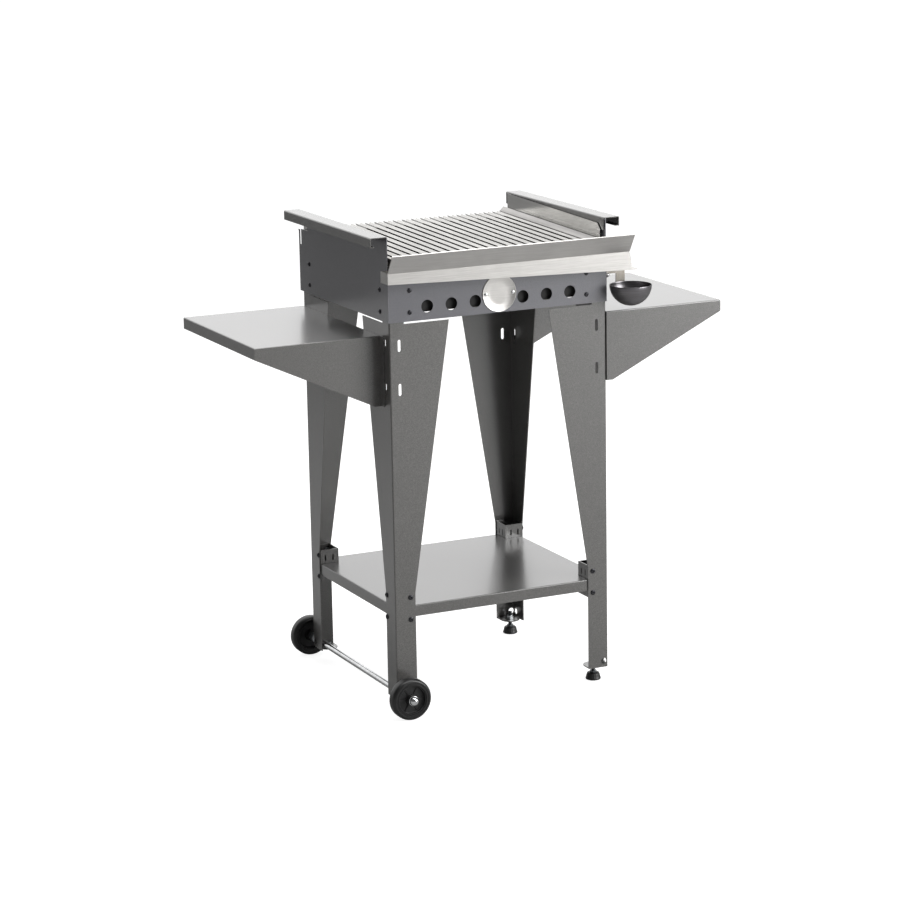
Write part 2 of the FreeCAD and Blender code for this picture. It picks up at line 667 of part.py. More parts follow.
def make_front_panel():
    body = new_body("front_panel")
    top = "(firebox_low + front_rise)"
    holes = []
    for s in (-1, 1):
        for n in (1, 2, 3):
            holes.append((f"{s} * {n} * air_pitch", "firebox_low + air_rise", "air_radius"))
        for z in SCREWS:
            holes.append((f"{s} * ({LEG_X} - face_screw_inset)", z, "panel_screw_radius"))
        holes.append((f"{s} * badge_radius * 0.8", "firebox_low + badge_rise", "rivet_radius"))
    tongue_z = "(gutter_fold - tongue_drop)"
    windows = [rectangle(f"{s} * tongue_spread", tongue_z, "tongue_run + seat_play * 4",
                         "gutter_sheet + seat_play * 4") for s in (-1, 1)]
    middle = f"-({FIREBOX_Y} - panel_sheet / 2)"
    add_slab(body, "XZ", middle, "panel_sheet",
             rectangle("0", "firebox_low + front_rise / 2", "width", "front_rise"),
             windows=windows, circles=holes)
    stiffener = f"({PANEL_IN_X} - ledge_width)"
    add_slab(body, "XY", f"{top} - panel_sheet / 2", "panel_sheet",
             [(f"-{stiffener}", f"-({FIREBOX_Y} - panel_sheet)"),
              (f"{stiffener}", f"-({FIREBOX_Y} - panel_sheet)"),
              (f"{stiffener}", f"-({FIREBOX_Y} - panel_sheet - 10)"),
              (f"-{stiffener}", f"-({FIREBOX_Y} - panel_sheet - 10)")])
    return body


def make_rear_panel():
    """A flat sheet whose side flanges turn to the back, each with a small upright hook."""
    body = new_body("rear_panel")
    holes = [(f"{s} * ({LEG_X} - face_screw_inset)", z, "panel_screw_radius")
             for s in (-1, 1) for z in SCREWS]
    add_slab(body, "XZ", f"{FIREBOX_Y} - panel_sheet / 2", "panel_sheet",
             rectangle("0", "firebox_low + rear_rise / 2", "width", "rear_rise"), circles=holes)
    top = "(firebox_low + rear_rise)"
    back = f"({FIREBOX_Y} + rear_flange)"
    hook_top = f"({top} + notch_drop * 0.8)"
    for s in (-1, 1):
        add_slab(body, "YZ", f"{s} * ({FIREBOX_X} - panel_sheet / 2)", "panel_sheet", [
            (f"{FIREBOX_Y} - panel_sheet / 2", "firebox_low"), (back, "firebox_low"),
            (back, f"{hook_top} - 4"), (f"{back} + 3", hook_top), (f"{back} - 4", hook_top),
            (f"{back} - 4", top), (f"{FIREBOX_Y} - panel_sheet / 2", top)])
    return body


def make_side_panel(side):
    sx = SIDES[side]
    front, rear = f"-{LEG_Y}", f"{LEG_Y}"
    top = "(rail_top - panel_sheet)"
    holes = [(f"{s} * ({LEG_Y} - side_screw_inset)", z, "panel_screw_radius")
             for s in (-1, 1) for z in SCREWS]
    if side == "right":
        holes.append((STUD_Y, "stud_height", "stud_radius"))
    outline = [(front, "firebox_low"), (rear, "firebox_low"), (rear, f"{top} - notch_drop"),
               (f"{rear} - notch_run", f"{top} - notch_drop"), (f"{rear} - notch_run", top),
               (front, top)]
    return slab(f"side_panel_{side}", "YZ", f"{sx} * ({FIREBOX_X} - panel_sheet / 2)",
                "panel_sheet", outline, circles=holes)


def make_handle_rail(side):
    """A folded grip: inner flange on the side panel, flat top, outer lip and return."""
    sx = SIDES[side]
    root = f"({PANEL_IN_X} - panel_sheet)"
    outer = f"({PANEL_IN_X} + rail_width)"
    path = [
        (root, "rail_top - rail_root"), (root, "rail_top"), (outer, "rail_top"),
        (outer, "rail_top - rail_lip"), (f"({outer} - rail_return)", "rail_top - rail_lip"),
        (f"({outer} - rail_return)", "rail_top - rail_lip + panel_sheet"),
        (f"({outer} - panel_sheet)", "rail_top - rail_lip + panel_sheet"),
        (f"({outer} - panel_sheet)", "rail_top - panel_sheet"),
        (PANEL_IN_X, "rail_top - panel_sheet"), (PANEL_IN_X, "rail_top - rail_root"),
    ]
    length = "(depth - rail_front_setback + rail_rear_overhang)"
    middle = "(rail_front_setback + rail_rear_overhang) / 2"
    body = slab(f"handle_rail_{side}", "XZ", middle, length,
                [(f"{sx} * {x}", z) for x, z in path])
    round_edges(body, "rail_bend",
                lambda a, b: abs(a.y - b.y) > 100 and both((a, b), "z", "rail_top"))
    return body


nodes.append(make_front_panel())
nodes.append(make_rear_panel())
for side in SIDES:
    nodes.append(make_side_panel(side))
for side in SIDES:
    nodes.append(make_handle_rail(side))


# ---------------------------------------------------------------- ledges inside the firebox

def make_ledge(label, side, top, width, drop, run):
    """An angle on the side panel's inner face that carries a piece."""
    sx = SIDES[side]
    path = [
        (f"{sx} * {PANEL_IN_X}", f"{top} - {drop}"), (f"{sx} * {PANEL_IN_X}", top),
        (f"{sx} * ({PANEL_IN_X} - {width})", top),
        (f"{sx} * ({PANEL_IN_X} - {width})", f"{top} - panel_sheet"),
        (f"{sx} * ({PANEL_IN_X} - panel_sheet)", f"{top} - panel_sheet"),
        (f"{sx} * ({PANEL_IN_X} - panel_sheet)", f"{top} - {drop}"),
    ]
    return slab(label, "XZ", "0", run, path)


for side in SIDES:
    nodes.append(make_ledge(f"grate_ledge_{side}", side, LEDGE_TOP, "ledge_width", "ledge_drop",
                            "(depth - panel_sheet * 2 - ledge_width)"))
for side in SIDES:
    nodes.append(make_ledge(f"tray_ledge_{side}", side, "tray_floor", "(ledge_width * 1.5)",
                            "tray_rail_drop", "tray_rail_length"))


# ---------------------------------------------------------------- fire tray, charcoal grate

TRAY_X = f"({LEG_IN_X} - tray_play)"
TRAY_Y = f"({LEG_IN_Y} - tray_play)"


def make_fire_tray():
    """The pan that holds the charcoal, with rows of air slots in its floor."""
    body = new_body("fire_tray")
    add_slab(body, "XY", "tray_floor + panel_sheet / 2", "panel_sheet",
             rectangle("0", "0", f"2 * {TRAY_X}", f"2 * {TRAY_Y}"))
    wall_z = "tray_floor + tray_wall / 2"
    for s in (-1, 1):
        add_slab(body, "XZ", f"{s} * ({TRAY_Y} - panel_sheet / 2)", "panel_sheet",
                 rectangle("0", wall_z, f"2 * {TRAY_X}", "tray_wall"))
        add_slab(body, "YZ", f"{s} * ({TRAY_X} - panel_sheet / 2)", "panel_sheet",
                 rectangle("0", wall_z, f"2 * {TRAY_Y}", "tray_wall"))
    rows = [f"{n} * ({TRAY_Y} * 2 - tray_slot_width * 4) / 3" for n in (-1, 0, 1)]
    columns = [f"{n} * {TRAY_X} * 2 / 9" for n in range(-3, 4)]
    cut_through(body, "XY", "tray_floor", "panel_sheet * 4",
                slots=[(x, y, "tray_slot_width", "tray_slot_length") for x in columns for y in rows])
    return body


def make_charcoal_grate():
    """Round rods welded on two runners that stand on the tray floor."""
    runner_z = "(tray_floor + panel_sheet)"
    rod_z = f"({runner_z} + runner_height + rod_radius * 0.8)"
    rod_y = f"({TRAY_Y} - panel_sheet - tray_slot_width)"
    pieces = []
    for s in (-1, 1):
        x = f"{s} * ({TRAY_X} - runner_inset) - runner_thick / 2"
        pieces.append(box(f"grate_runner_{s + 2}", "runner_thick", f"2 * {rod_y}",
                          "runner_height", x, f"-{rod_y}", runner_z))
    rod_x = f"({TRAY_X} - panel_sheet - tray_slot_width)"
    rod = cylinder("charcoal_rod", "X", "rod_radius", f"2 * {rod_x}", f"-{rod_x}", "0", rod_z)
    for n in range(int(number("rod_count"))):
        link = doc.addObject("App::Link", f"rod_{n + 1}")
        link.LinkedObject = rod
        link.LinkTransform = False
        link.Placement.Rotation = TURNS["X"]
        place(link, f"-{rod_x}", f"({n} - (rod_count - 1) / 2) * rod_pitch", rod_z)
        pieces.append(link)
    return fuse("charcoal_grate", pieces)


nodes.append(make_fire_tray())
nodes.append(make_charcoal_grate())


# ---------------------------------------------------------------- V-bar grate

BAR_FRONT = f"({FIREBOX_Y} + grate_overhang_front)"
BAR_REAR = f"({FIREBOX_Y} + grate_overhang_rear)"
PLATE_X = f"({PANEL_IN_X} - panel_sheet - plate_play)"
BAR_RUN = f"({BAR_FRONT} + {BAR_REAR})"


def tilt(body):
    """The V bars are modelled level, then turned about their front ends to fall forwards."""
    body.Placement.Rotation = FreeCAD.Rotation(FreeCAD.Vector(1, 0, 0), number("grate_slope"))
    bind(body, "Placement.Rotation.Angle", "grate_slope * 1 deg")
    place(body, "0", f"-{BAR_FRONT}", "grate_front")


def vee(x):
    wall = "(vee_sheet * 1.6)"
    return [
        (f"{x} - vee_width / 2", "0"), (x, "-vee_depth"), (f"{x} + vee_width / 2", "0"),
        (f"{x} + vee_width / 2 - {wall}", "0"), (x, f"-vee_depth + {wall}"),
        (f"{x} - vee_width / 2 + {wall}", "0"),
    ]


def make_grate_bars():
    """V bars that lead the fat to the gutter; each is a solid of its own."""
    body = new_body("grate_bars")
    first = add_slab(body, "XZ", f"{BAR_RUN} / 2", BAR_RUN, vee("-vee_pitch * (vee_count - 1) / 2"))
    row = body.newObject("PartDesign::LinearPattern", "bar_row")
    row.Originals = [first]
    row.Direction = (first.Profile[0], ["H_Axis"])
    bind(row, "Length", "vee_pitch * (vee_count - 1)")
    bind(row, "Occurrences", "vee_count")
    body.Tip = row
    tilt(body)
    return body


def make_grate_edge(side):
    """The sloping strip between the last V bar and the side plate."""
    sx = SIDES[side]
    inner = "(vee_pitch * (vee_count - 1) / 2 + vee_width / 2 + vee_depth / 2)"
    outer = f"({PLATE_X} - vee_sheet - edge_gap)"
    body = slab(f"grate_edge_{side}", "XZ", f"{BAR_RUN} / 2", BAR_RUN, [
        (f"{sx} * {inner}", "0"), (f"{sx} * {outer}", "vee_depth * 0.9"),
        (f"{sx} * {outer}", "vee_depth * 0.9 - vee_sheet"),
        (f"{sx} * ({inner} + vee_sheet / 2)", "-vee_sheet"),
        (f"{sx} * ({inner} + vee_sheet / 2)", "-vee_depth"),
        (f"{sx} * ({inner} - vee_sheet / 2)", "-vee_depth"),
        (f"{sx} * ({inner} - vee_sheet / 2)", "0")])
    tilt(body)
    return body


def make_cross_bars():
    """Two flat bars across the grate, to which the V bars are welded."""
    pieces = []
    for name, y in (("front", "grate_overhang_front + cross_inset"),
                    ("rear", f"{BAR_RUN} - grate_overhang_rear - cross_inset - cross_thick")):
        body = slab(f"cross_bar_{name}", "XZ", f"{y} + cross_thick / 2", "cross_thick",
                    rectangle("0", "-vee_depth - cross_height / 2",
                              f"2 * ({PLATE_X} - vee_sheet)", "cross_height"))
        tilt(body)
        pieces.append(body)
    return group("grate_cross_bars", pieces)


def make_side_plate(side):
    """The grate's upright side: level foot on the ledge, top edge along the slope."""
    sx = SIDES[side]

    def high(y):
        return f"grate_front + ({y} + {BAR_FRONT}) * tan(grate_slope * 1 deg) + plate_rise"

    front = f"(-{FIREBOX_Y} + plate_setback)"
    rear = f"({FIREBOX_Y} - panel_sheet * 2)"
    foot = f"{LEDGE_TOP} + seat_play"
    return slab(f"grate_side_{side}", "YZ", f"{sx} * ({PLATE_X} - vee_sheet / 2)", "vee_sheet", [
        (front, foot), (rear, foot), (rear, high(rear)),
        (f"{front} + plate_chamfer", high(f"({front} + plate_chamfer)")),
        (front, f"{high(front)} - plate_chamfer")])


nodes.append(make_grate_bars())
for side in SIDES:
    nodes.append(make_grate_edge(side))
nodes.append(make_cross_bars())
for side in SIDES:
    nodes.append(make_side_plate(side))


# ---------------------------------------------------------------- grease gutter

def make_gutter():
    """A trough that falls to its spout on the right, with an apron that leans forwards."""
    body = new_body("grease_gutter")
    left = f"(-{FIREBOX_X} - gutter_left)"
    right = f"({FIREBOX_X} + gutter_right)"
    spout = f"({FIREBOX_X} + gutter_spout)"
    back = f"({FIREBOX_Y} + gutter_gap)"
    front = f"({back} + gutter_depth)"
    fall = f"((gutter_fall_left - gutter_fall_right) / ({spout} - {left}))"

    def floor_at(x):
        return f"(gutter_fall_left - ({x} - {left}) * {fall})"

    add_slab(body, "XZ", f"-({front} + {back}) / 2", f"({front} - {back})", [
        (left, floor_at(left)), (spout, floor_at(spout)),
        (spout, f"{floor_at(spout)} + gutter_sheet"), (left, f"{floor_at(left)} + gutter_sheet")])
    add_slab(body, "XZ", f"-({front} - gutter_sheet / 2)", "gutter_sheet", [
        (left, floor_at(left)), (f"{right} + gutter_sheet * 5", floor_at(f"({right} + gutter_sheet * 5)")),
        (right, "gutter_fold"), (left, "gutter_fold")])
    add_slab(body, "XZ", f"-({back} + gutter_sheet / 2)", "gutter_sheet", [
        (left, floor_at(left)), (spout, floor_at(spout)), (spout, "gutter_fold - apron_lean"),
        (f"({right} + {spout}) / 2", "gutter_fold - apron_lean / 2"), (right, "gutter_fold"),
        (left, "gutter_fold")])
    add_slab(body, "YZ", f"{left} + gutter_sheet / 2", "gutter_sheet", [
        (f"-{front}", f"{floor_at(left)}"), (f"-{back}", f"{floor_at(left)}"),
        (f"-{back}", "gutter_fold"), (f"-{front}", "gutter_fold")])
    add_slab(body, "YZ", f"({left} + {right}) / 2", f"({right} - {left})", [
        (f"-{front}", "gutter_fold - gutter_sheet"),
        (f"-({front} + apron_lean)", "gutter_fold - gutter_sheet + apron_rise"),
        (f"-({front} + apron_lean - gutter_sheet * 0.85)", "gutter_fold + apron_rise"),
        (f"-({front} - gutter_sheet)", "gutter_fold"),
        (f"-({front} - gutter_sheet)", "gutter_fold - gutter_sheet")])
    for s in (-1, 1):
        add_slab(body, "XY", "gutter_fold - tongue_drop", "gutter_sheet", [
            (f"{s} * tongue_spread - tongue_run / 2", f"-({back} + gutter_sheet / 2)"),
            (f"{s} * tongue_spread + tongue_run / 2", f"-({back} + gutter_sheet / 2)"),
            (f"{s} * tongue_spread + tongue_run / 2", f"-({FIREBOX_Y} - tongue_reach)"),
            (f"{s} * tongue_spread - tongue_run / 2", f"-({FIREBOX_Y} - tongue_reach)")])
    return body


nodes.append(make_gutter())


# ---------------------------------------------------------------- drip bowl and its hanger

def half_ball(label, radius):
    made = doc.addObject("Part::Sphere", label)
    bind(made, "Radius", radius)
    made.Angle1 = -90
    made.Angle2 = 0
    place(made, BOWL_X, BOWL_Y, "bowl_rim")
    return made


def make_bowl():
    bowl = cut("drip_bowl", half_ball("bowl_outside", "bowl_radius"),
               half_ball("bowl_inside", "bowl_radius - bowl_sheet"))
    bowl.Label = "drip_bowl"
    return bowl


def make_hanger():
    """An ear with an open slot over the stud, folded into the strap behind the bowl."""
    body = new_body("bowl_hanger")
    strap_y = f"({BOWL_Y} + bowl_radius + hanger_sheet / 2)"
    ear_x = f"({FIREBOX_X} + seat_play + hanger_sheet / 2)"
    mid_z = "hanger_low + hanger_height / 2"
    slot = "(stud_radius + seat_play)"
    ear_end = f"({strap_y} + hanger_sheet / 2 - hanger_ear)"
    add_slab(body, "YZ", ear_x, "hanger_sheet", [
        (f"{ear_end}", "hanger_low"), (f"{STUD_Y} - {slot}", "hanger_low"),
        (f"{STUD_Y} - {slot}", f"stud_height + {slot}"), (f"{STUD_Y} + {slot}", f"stud_height + {slot}"),
        (f"{STUD_Y} + {slot}", "hanger_low"), (f"{strap_y} + hanger_sheet / 2", "hanger_low"),
        (f"{strap_y} + hanger_sheet / 2", "hanger_low + hanger_height"),
        (f"{ear_end}", "hanger_low + hanger_height")])
    add_slab(body, "XZ", strap_y, "hanger_sheet", [
        (f"{ear_x} - hanger_sheet / 2", mid_z), (f"{BOWL_X} + hanger_strap / 2", mid_z),
        (f"{BOWL_X} + hanger_strap / 2", "hanger_low + hanger_height"),
        (f"{ear_x} - hanger_sheet / 2", "hanger_low + hanger_height")])
    add_slab(body, "XZ", strap_y, "hanger_sheet",
             rectangle(BOWL_X, "hanger_low + (hanger_height - strap_drop) / 2", "hanger_strap",
                       "hanger_height + strap_drop"))
    return body


def make_stud():
    """A stud through the side panel with a domed nut outside and a flat nut inside."""
    shank = cylinder("stud_shank", "X", "stud_radius", "panel_sheet * 2 + hanger_sheet * 3 + 6",
                     f"{FIREBOX_X} - panel_sheet * 2 - 3", STUD_Y, "stud_height")
    head = cylinder("stud_head", "X", "stud_radius * 2", "5",
                    f"{FIREBOX_X} + hanger_sheet + seat_play * 2", STUD_Y, "stud_height")
    dome = doc.addObject("Part::Sphere", "stud_dome")
    bind(dome, "Radius", "stud_radius * 1.8")
    dome.Angle1 = 0
    dome.Placement.Rotation = TURNS["X"]
    place(dome, f"{FIREBOX_X} + hanger_sheet + seat_play * 2 + 5", STUD_Y, "stud_height")
    nut = cylinder("stud_nut", "X", "stud_radius * 1.8", "3",
                   f"{FIREBOX_X} - panel_sheet - stand_sheet - 3", STUD_Y, "stud_height")
    return fuse("bowl_stud", [shank, head, dome, nut])


nodes.append(make_bowl())
nodes.append(make_hanger())
nodes.append(make_stud())


# ---------------------------------------------------------------- badge

def make_badge():
    z = "firebox_low + badge_rise"
    disc = cylinder("badge_disc", "-Y", "badge_radius", "badge_thick", "0", f"-{FIREBOX_Y}", z)
    holes = [cylinder(f"badge_hole_{s + 2}", "-Y", "rivet_radius", "badge_thick * 3",
                      f"{s} * badge_radius * 0.8", f"-{FIREBOX_Y} + badge_thick", z)
             for s in (-1, 1)]
    made = cut("badge", disc, fuse("badge_holes", holes))
    made.Label = "badge"
    return made


def make_badge_rivets():
    pieces = []
    for s in (-1, 1):
        x, z = f"{s} * badge_radius * 0.8", "firebox_low + badge_rise"
        shank = cylinder(f"rivet_shank_{s + 2}", "-Y", "rivet_radius",
                         "badge_thick + panel_sheet * 2", x, f"-{FIREBOX_Y} + panel_sheet * 2", z)
        head = cylinder(f"rivet_head_{s + 2}", "-Y", "rivet_radius * 1.7", "1", x,
                        f"-{FIREBOX_Y} - badge_thick", z)
        pieces.append(fuse(f"rivet_{s + 2}", [shank, head]))
    return group("badge_rivets", pieces)


nodes.append(make_badge())
nodes.append(make_badge_rivets())


# ---------------------------------------------------------------- screws, bolts and nuts

def fastener(name, axis, x, y, z, radius, grip, head_radius, head):
    """Shank through `grip`, head outside it; `axis` points out of the face at (x, y, z)."""
    step = {"X": (1, 0), "-X": (-1, 0), "Y": (0, 1), "-Y": (0, -1)}[axis]
    shank = cylinder(name + "_shank", axis, radius, f"({grip}) + 0.5",
                     f"{x} - {step[0]} * ({grip})", f"{y} - {step[1]} * ({grip})", z)
    top = cylinder(name + "_head", axis, head_radius, head, x, y, z)
    return fuse(name, [shank, top])


def face_axis(sy):
    return "Y" if sy > 0 else "-Y"


def side_axis(sx):
    return "X" if sx > 0 else "-X"


def make_panel_screws(kind):
    pieces = []
    for sx in (-1, 1):
        for sy in (-1, 1):
            for n, z in enumerate(SCREWS):
                name = f"{kind}_screw_{sx + 2}{sy + 2}{n}"
                if kind == "face":
                    spot = (face_axis(sy), f"{sx} * ({LEG_X} - face_screw_inset)", f"{sy} * {FIREBOX_Y}")
                else:
                    spot = (side_axis(sx), f"{sx} * {FIREBOX_X}", f"{sy} * ({LEG_Y} - side_screw_inset)")
                pieces.append(fastener(name, *spot, z, "panel_screw_radius",
                                       "panel_sheet + stand_sheet + 2", "panel_screw_radius * 1.8",
                                       "panel_screw_radius * 0.8"))
    return group(f"{kind}_panel_screws", pieces)


def make_bracket_bolts():
    pieces = []
    for sx in (-1, 1):
        for sy in (-1, 1):
            for n, z in enumerate(BOLTS):
                name = f"bolt_{sx + 2}{sy + 2}{n}"
                pieces.append(fastener(name + "f", face_axis(sy), f"{sx} * ({LEG_X} - bolt_face_inset)",
                                       f"{sy} * {LEG_Y}", z, "bolt_radius", "stand_sheet * 2 + 7",
                                       "bolt_radius * 1.7", "bolt_radius * 0.8"))
                pieces.append(fastener(name + "s", side_axis(sx), f"{sx} * {LEG_X}",
                                       f"{sy} * ({LEG_Y} - bolt_side_inset)", z, "bolt_radius",
                                       "stand_sheet * 2 + 7", "bolt_radius * 1.7", "bolt_radius * 0.8"))
    return group("bracket_bolts", pieces)


def hexagon(x, y, radius):
    """Corners of a hexagon whose flats are `radius` from the middle, two of them facing +-x."""
    return [(f"{x} + {radius} * {i}", f"{y} + {radius} * {j} * tan(30 deg)")
            for i, j in ((1, -1), (1, 1), (0, 2), (-1, 1), (-1, -1), (0, -2))]


def make_bracket_nuts():
    """Hexagon nuts on the bracket bolts, inside the boxes."""
    pieces = []
    for sx in (-1, 1):
        for sy in (-1, 1):
            for n, z in enumerate(BOLTS):
                name = f"nut_{sx + 2}{sy + 2}{n}"
                x, y = f"{sx} * ({LEG_X} - bolt_face_inset)", f"{sy} * ({LEG_Y} - bolt_side_inset)"
                pieces.append(slab(name + "f", "XZ", f"{sy} * ({LEG_Y} - stand_sheet * 2 - 2.5)", "5",
                                   hexagon(x, z, "bolt_radius * 1.5"),
                                   circles=[(x, z, "bolt_radius")]))
                pieces.append(slab(name + "s", "YZ", f"{sx} * ({LEG_X} - stand_sheet * 2 - 2.5)", "5",
                                   hexagon(y, z, "bolt_radius * 1.5"),
                                   circles=[(y, z, "bolt_radius")]))
    return group("bracket_nuts", pieces)


nodes.append(make_panel_screws("face"))
nodes.append(make_panel_screws("side"))
nodes.append(make_bracket_bolts())
nodes.append(make_bracket_nuts())


# ---------------------------------------------------------------- wheels

AXLE_X = f"(-({LEG_X} - axle_inset))"
WHEEL_IN = f"({LEG_Y} + wheel_gap)"
WHEEL_OUT = f"({WHEEL_IN} + wheel_width)"


def make_tyre(end):
    """A tyre with rounded shoulders, turned about the axle."""
    s = ENDS[end]
    bevel = "wheel_width * 0.16"
    outline = [
        (f"{s} * {WHEEL_IN}", "tyre_inner"), (f"{s} * {WHEEL_OUT}", "tyre_inner"),
        (f"{s} * {WHEEL_OUT}", f"wheel_radius - {bevel} * 1.3"),
        (f"{s} * ({WHEEL_OUT} - {bevel} * 0.4)", f"wheel_radius - {bevel} * 0.45"),
        (f"{s} * ({WHEEL_OUT} - {bevel})", "wheel_radius"),
        (f"{s} * ({WHEEL_IN} + {bevel})", "wheel_radius"),
        (f"{s} * ({WHEEL_IN} + {bevel} * 0.4)", f"wheel_radius - {bevel} * 0.45"),
        (f"{s} * {WHEEL_IN}", f"wheel_radius - {bevel} * 1.3"),
    ]
    return turned(f"tyre_{end}", "YZ", AXLE_X, ("0", "wheel_radius"), "H_Axis", outline)


def make_hub(end):
    """Rim, web and boss in one moulding, with ribs between boss and rim."""
    s = ENDS[end]
    bore = "axle_radius + axle_play"
    boss = "axle_radius * 1.7"
    web_in = f"({WHEEL_IN} + wheel_width * 0.5)"
    web_out = f"({web_in} + wheel_width * 0.14)"
    rim_out = f"({WHEEL_OUT} - wheel_width * 0.06)"
    rim_in = f"({WHEEL_IN} + wheel_width * 0.06)"
    rim_wall = "(tyre_inner - 2.5)"
    outline = [
        (f"{s} * {rim_in}", rim_wall), (f"{s} * {rim_in}", "tyre_inner"),
        (f"{s} * {rim_out}", "tyre_inner"), (f"{s} * {rim_out}", rim_wall),
        (f"{s} * {web_out}", rim_wall), (f"{s} * {web_out}", boss),
        (f"{s} * {rim_out}", boss), (f"{s} * {rim_out}", bore),
        (f"{s} * {rim_in}", bore), (f"{s} * {rim_in}", boss),
        (f"{s} * {web_in}", boss), (f"{s} * {web_in}", rim_wall),
    ]
    body = turned(f"hub_{end}", "YZ", AXLE_X, ("0", "wheel_radius"), "H_Axis", outline)
    middle = f"({boss} + {rim_wall}) / 2"
    sketch = new_sketch(body, "XZ", f"{s} * ({web_out} + ({rim_out} - {web_out}) * 0.4)",
                        (AXLE_X, "wheel_radius"))
    draw_outline(sketch, rectangle(middle, "0", f"{rim_wall} - {boss} + 2", "2.4"))
    rib = body.newObject("PartDesign::Pad", f"rib_{end}")
    rib.Profile = sketch
    bind(rib, "Length", f"({rim_out} - {web_out}) * 0.8 + 0.4")
    rib.Midplane = True
    ring = body.newObject("PartDesign::PolarPattern", f"ribs_{end}")
    ring.Originals = [rib]
    ring.Axis = (sketch, ["N_Axis"])
    ring.Angle = 360
    bind(ring, "Occurrences", "hub_spokes")
    body.Tip = ring
    return body


def make_axle_caps():
    """Domed push-on caps at the two ends of the axle."""
    pieces = []
    for end, s in ENDS.items():
        start = f"{s} * ({WHEEL_OUT} + seat_play)"
        skirt = cylinder(f"cap_skirt_{end}", face_axis(s), "axle_radius * 1.67", "5", AXLE_X,
                         start, "wheel_radius")
        dome = doc.addObject("Part::Sphere", f"cap_dome_{end}")
        bind(dome, "Radius", "axle_radius * 1.57")
        dome.Angle1 = 0
        dome.Placement.Rotation = TURNS[face_axis(s)]
        place(dome, AXLE_X, f"{start} + {s} * 4", "wheel_radius")
        bore = cylinder(f"cap_bore_{end}", face_axis(s), "axle_radius", "8", AXLE_X,
                        f"{start} - {s} * 0.5", "wheel_radius")
        body = fuse(f"cap_body_{end}", [skirt, dome])
        pieces.append(cut(f"cap_{end}", body, bore))
    return group("axle_caps", pieces)


def make_spacers():
    """Bushes between the legs and the wheels."""
    pieces = []
    for end, s in ENDS.items():
        start = f"{s} * {LEG_Y}"
        sleeve = cylinder(f"sleeve_{end}", face_axis(s), "axle_radius * 1.5",
                          "wheel_gap + wheel_width * 0.06 - seat_play", AXLE_X, start, "wheel_radius")
        bore = cylinder(f"sleeve_bore_{end}", face_axis(s), "axle_radius", "wheel_gap * 2", AXLE_X,
                        f"{start} - {s} * 5", "wheel_radius")
        pieces.append(cut(f"spacer_{end}", sleeve, bore))
    return group("wheel_spacers", pieces)


def make_axle():
    reach = f"({WHEEL_OUT} + seat_play + 7)"
    made = cylinder("axle", "Y", "axle_radius", f"2 * {reach}", AXLE_X, f"-{reach}", "wheel_radius")
    made.Label = "axle"
    return made


nodes.append(make_axle())
for end in ENDS:
    nodes.append(make_tyre(end))
for end in ENDS:
    nodes.append(make_hub(end))
nodes.append(make_axle_caps())
nodes.append(make_spacers())


# ---------------------------------------------------------------- levelling feet

FOOT_X = f"({LEG_X} - foot_inset)"


def foot_y(end):
    return f"({ENDS[end]} * ({LEG_Y} - foot_inset))"


def make_foot_base(end):
    """A tapered plastic base with a socket for the stem."""
    outline = [
        ("0", "0"), ("foot_radius - 1", "0"), ("foot_radius", "1.2"), ("foot_radius", "2.4"),
        ("foot_radius * 0.8", "foot_height - 2"), ("foot_radius * 0.68", "foot_height"),
        ("foot_thread", "foot_height"), ("foot_thread", "foot_height / 2"),
        ("0", "foot_height / 2"),
    ]
    base = turned(f"foot_base_{end}", "XZ", "0", ("0", "0"), "V_Axis", outline)
    place(base, FOOT_X, foot_y(end), "0")
    return base


def make_foot_stem(end):
    """The threaded stem, with the hexagon by which it is turned."""
    y = foot_y(end)
    stem = cylinder(f"stem_{end}", "Z", "foot_thread", "foot_stem - foot_height / 2", FOOT_X, y,
                    "foot_height / 2")
    nut = slab(f"stem_nut_{end}", "XY", "foot_height + 2", "4",
               hexagon(FOOT_X, y, "foot_thread * 1.6"))
    return fuse(f"foot_stem_{end}", [stem, nut])


def make_weld_nuts():
    """Nuts welded on the toes of the four legs, as the legs are alike."""
    pieces = []
    for sx in (-1, 1):
        for sy in (-1, 1):
            x, y = f"{sx} * {FOOT_X}", f"{sy} * ({LEG_Y} - foot_inset)"
            pieces.append(slab(f"weld_nut_{sx + 2}{sy + 2}", "XY", "leg_low + stand_sheet + 4", "8",
                               hexagon(x, y, "foot_thread * 1.6"),
                               circles=[(x, y, "foot_thread + foot_play")]))
    return group("weld_nuts", pieces)


for end in ENDS:
    nodes.append(make_foot_base(end))
for end in ENDS:
    nodes.append(make_foot_stem(end))
nodes.append(make_weld_nuts())


# ---------------------------------------------------------------- check and write

doc.recompute()
faults = []
for thing in doc.Objects:
    if "Invalid" in thing.State or "Error" in thing.State:
        faults.append(f"{thing.Label}: {thing.State}")
for node in nodes:
    if node.Shape.isNull() or not node.Shape.isValid() or not node.Shape.Solids:
        faults.append(f"{node.Label}: no valid shape")
if faults:
    raise RuntimeError("; ".join(faults))

os.makedirs("parts", exist_ok=True)
for node in nodes:
    node.Shape.exportStep(f"parts/{node.Label}.step")
    print(f"{node.Label}: {len(node.Shape.Solids)} solid(s), {node.Shape.Volume / 1000:.1f} cm3")
print(len(nodes), "nodes")
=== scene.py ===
# %% [markdown]
# # A charcoal grill on a sheet-metal stand
# The grill is a firebox of folded sheet with a grate of V bars above it. Four tapered legs, two
# side shelves and a lower shelf are powder-coated steel. The grate, gutter and drip bowl are
# stainless. This lesson loads the engineering model, gives every piece its real finish, and
# rebuilds the small turned and threaded pieces with the detail that a close look shows.

# %% Load the engineering model
import json
import math

import bmesh
import bpy
from mathutils import Matrix, Vector


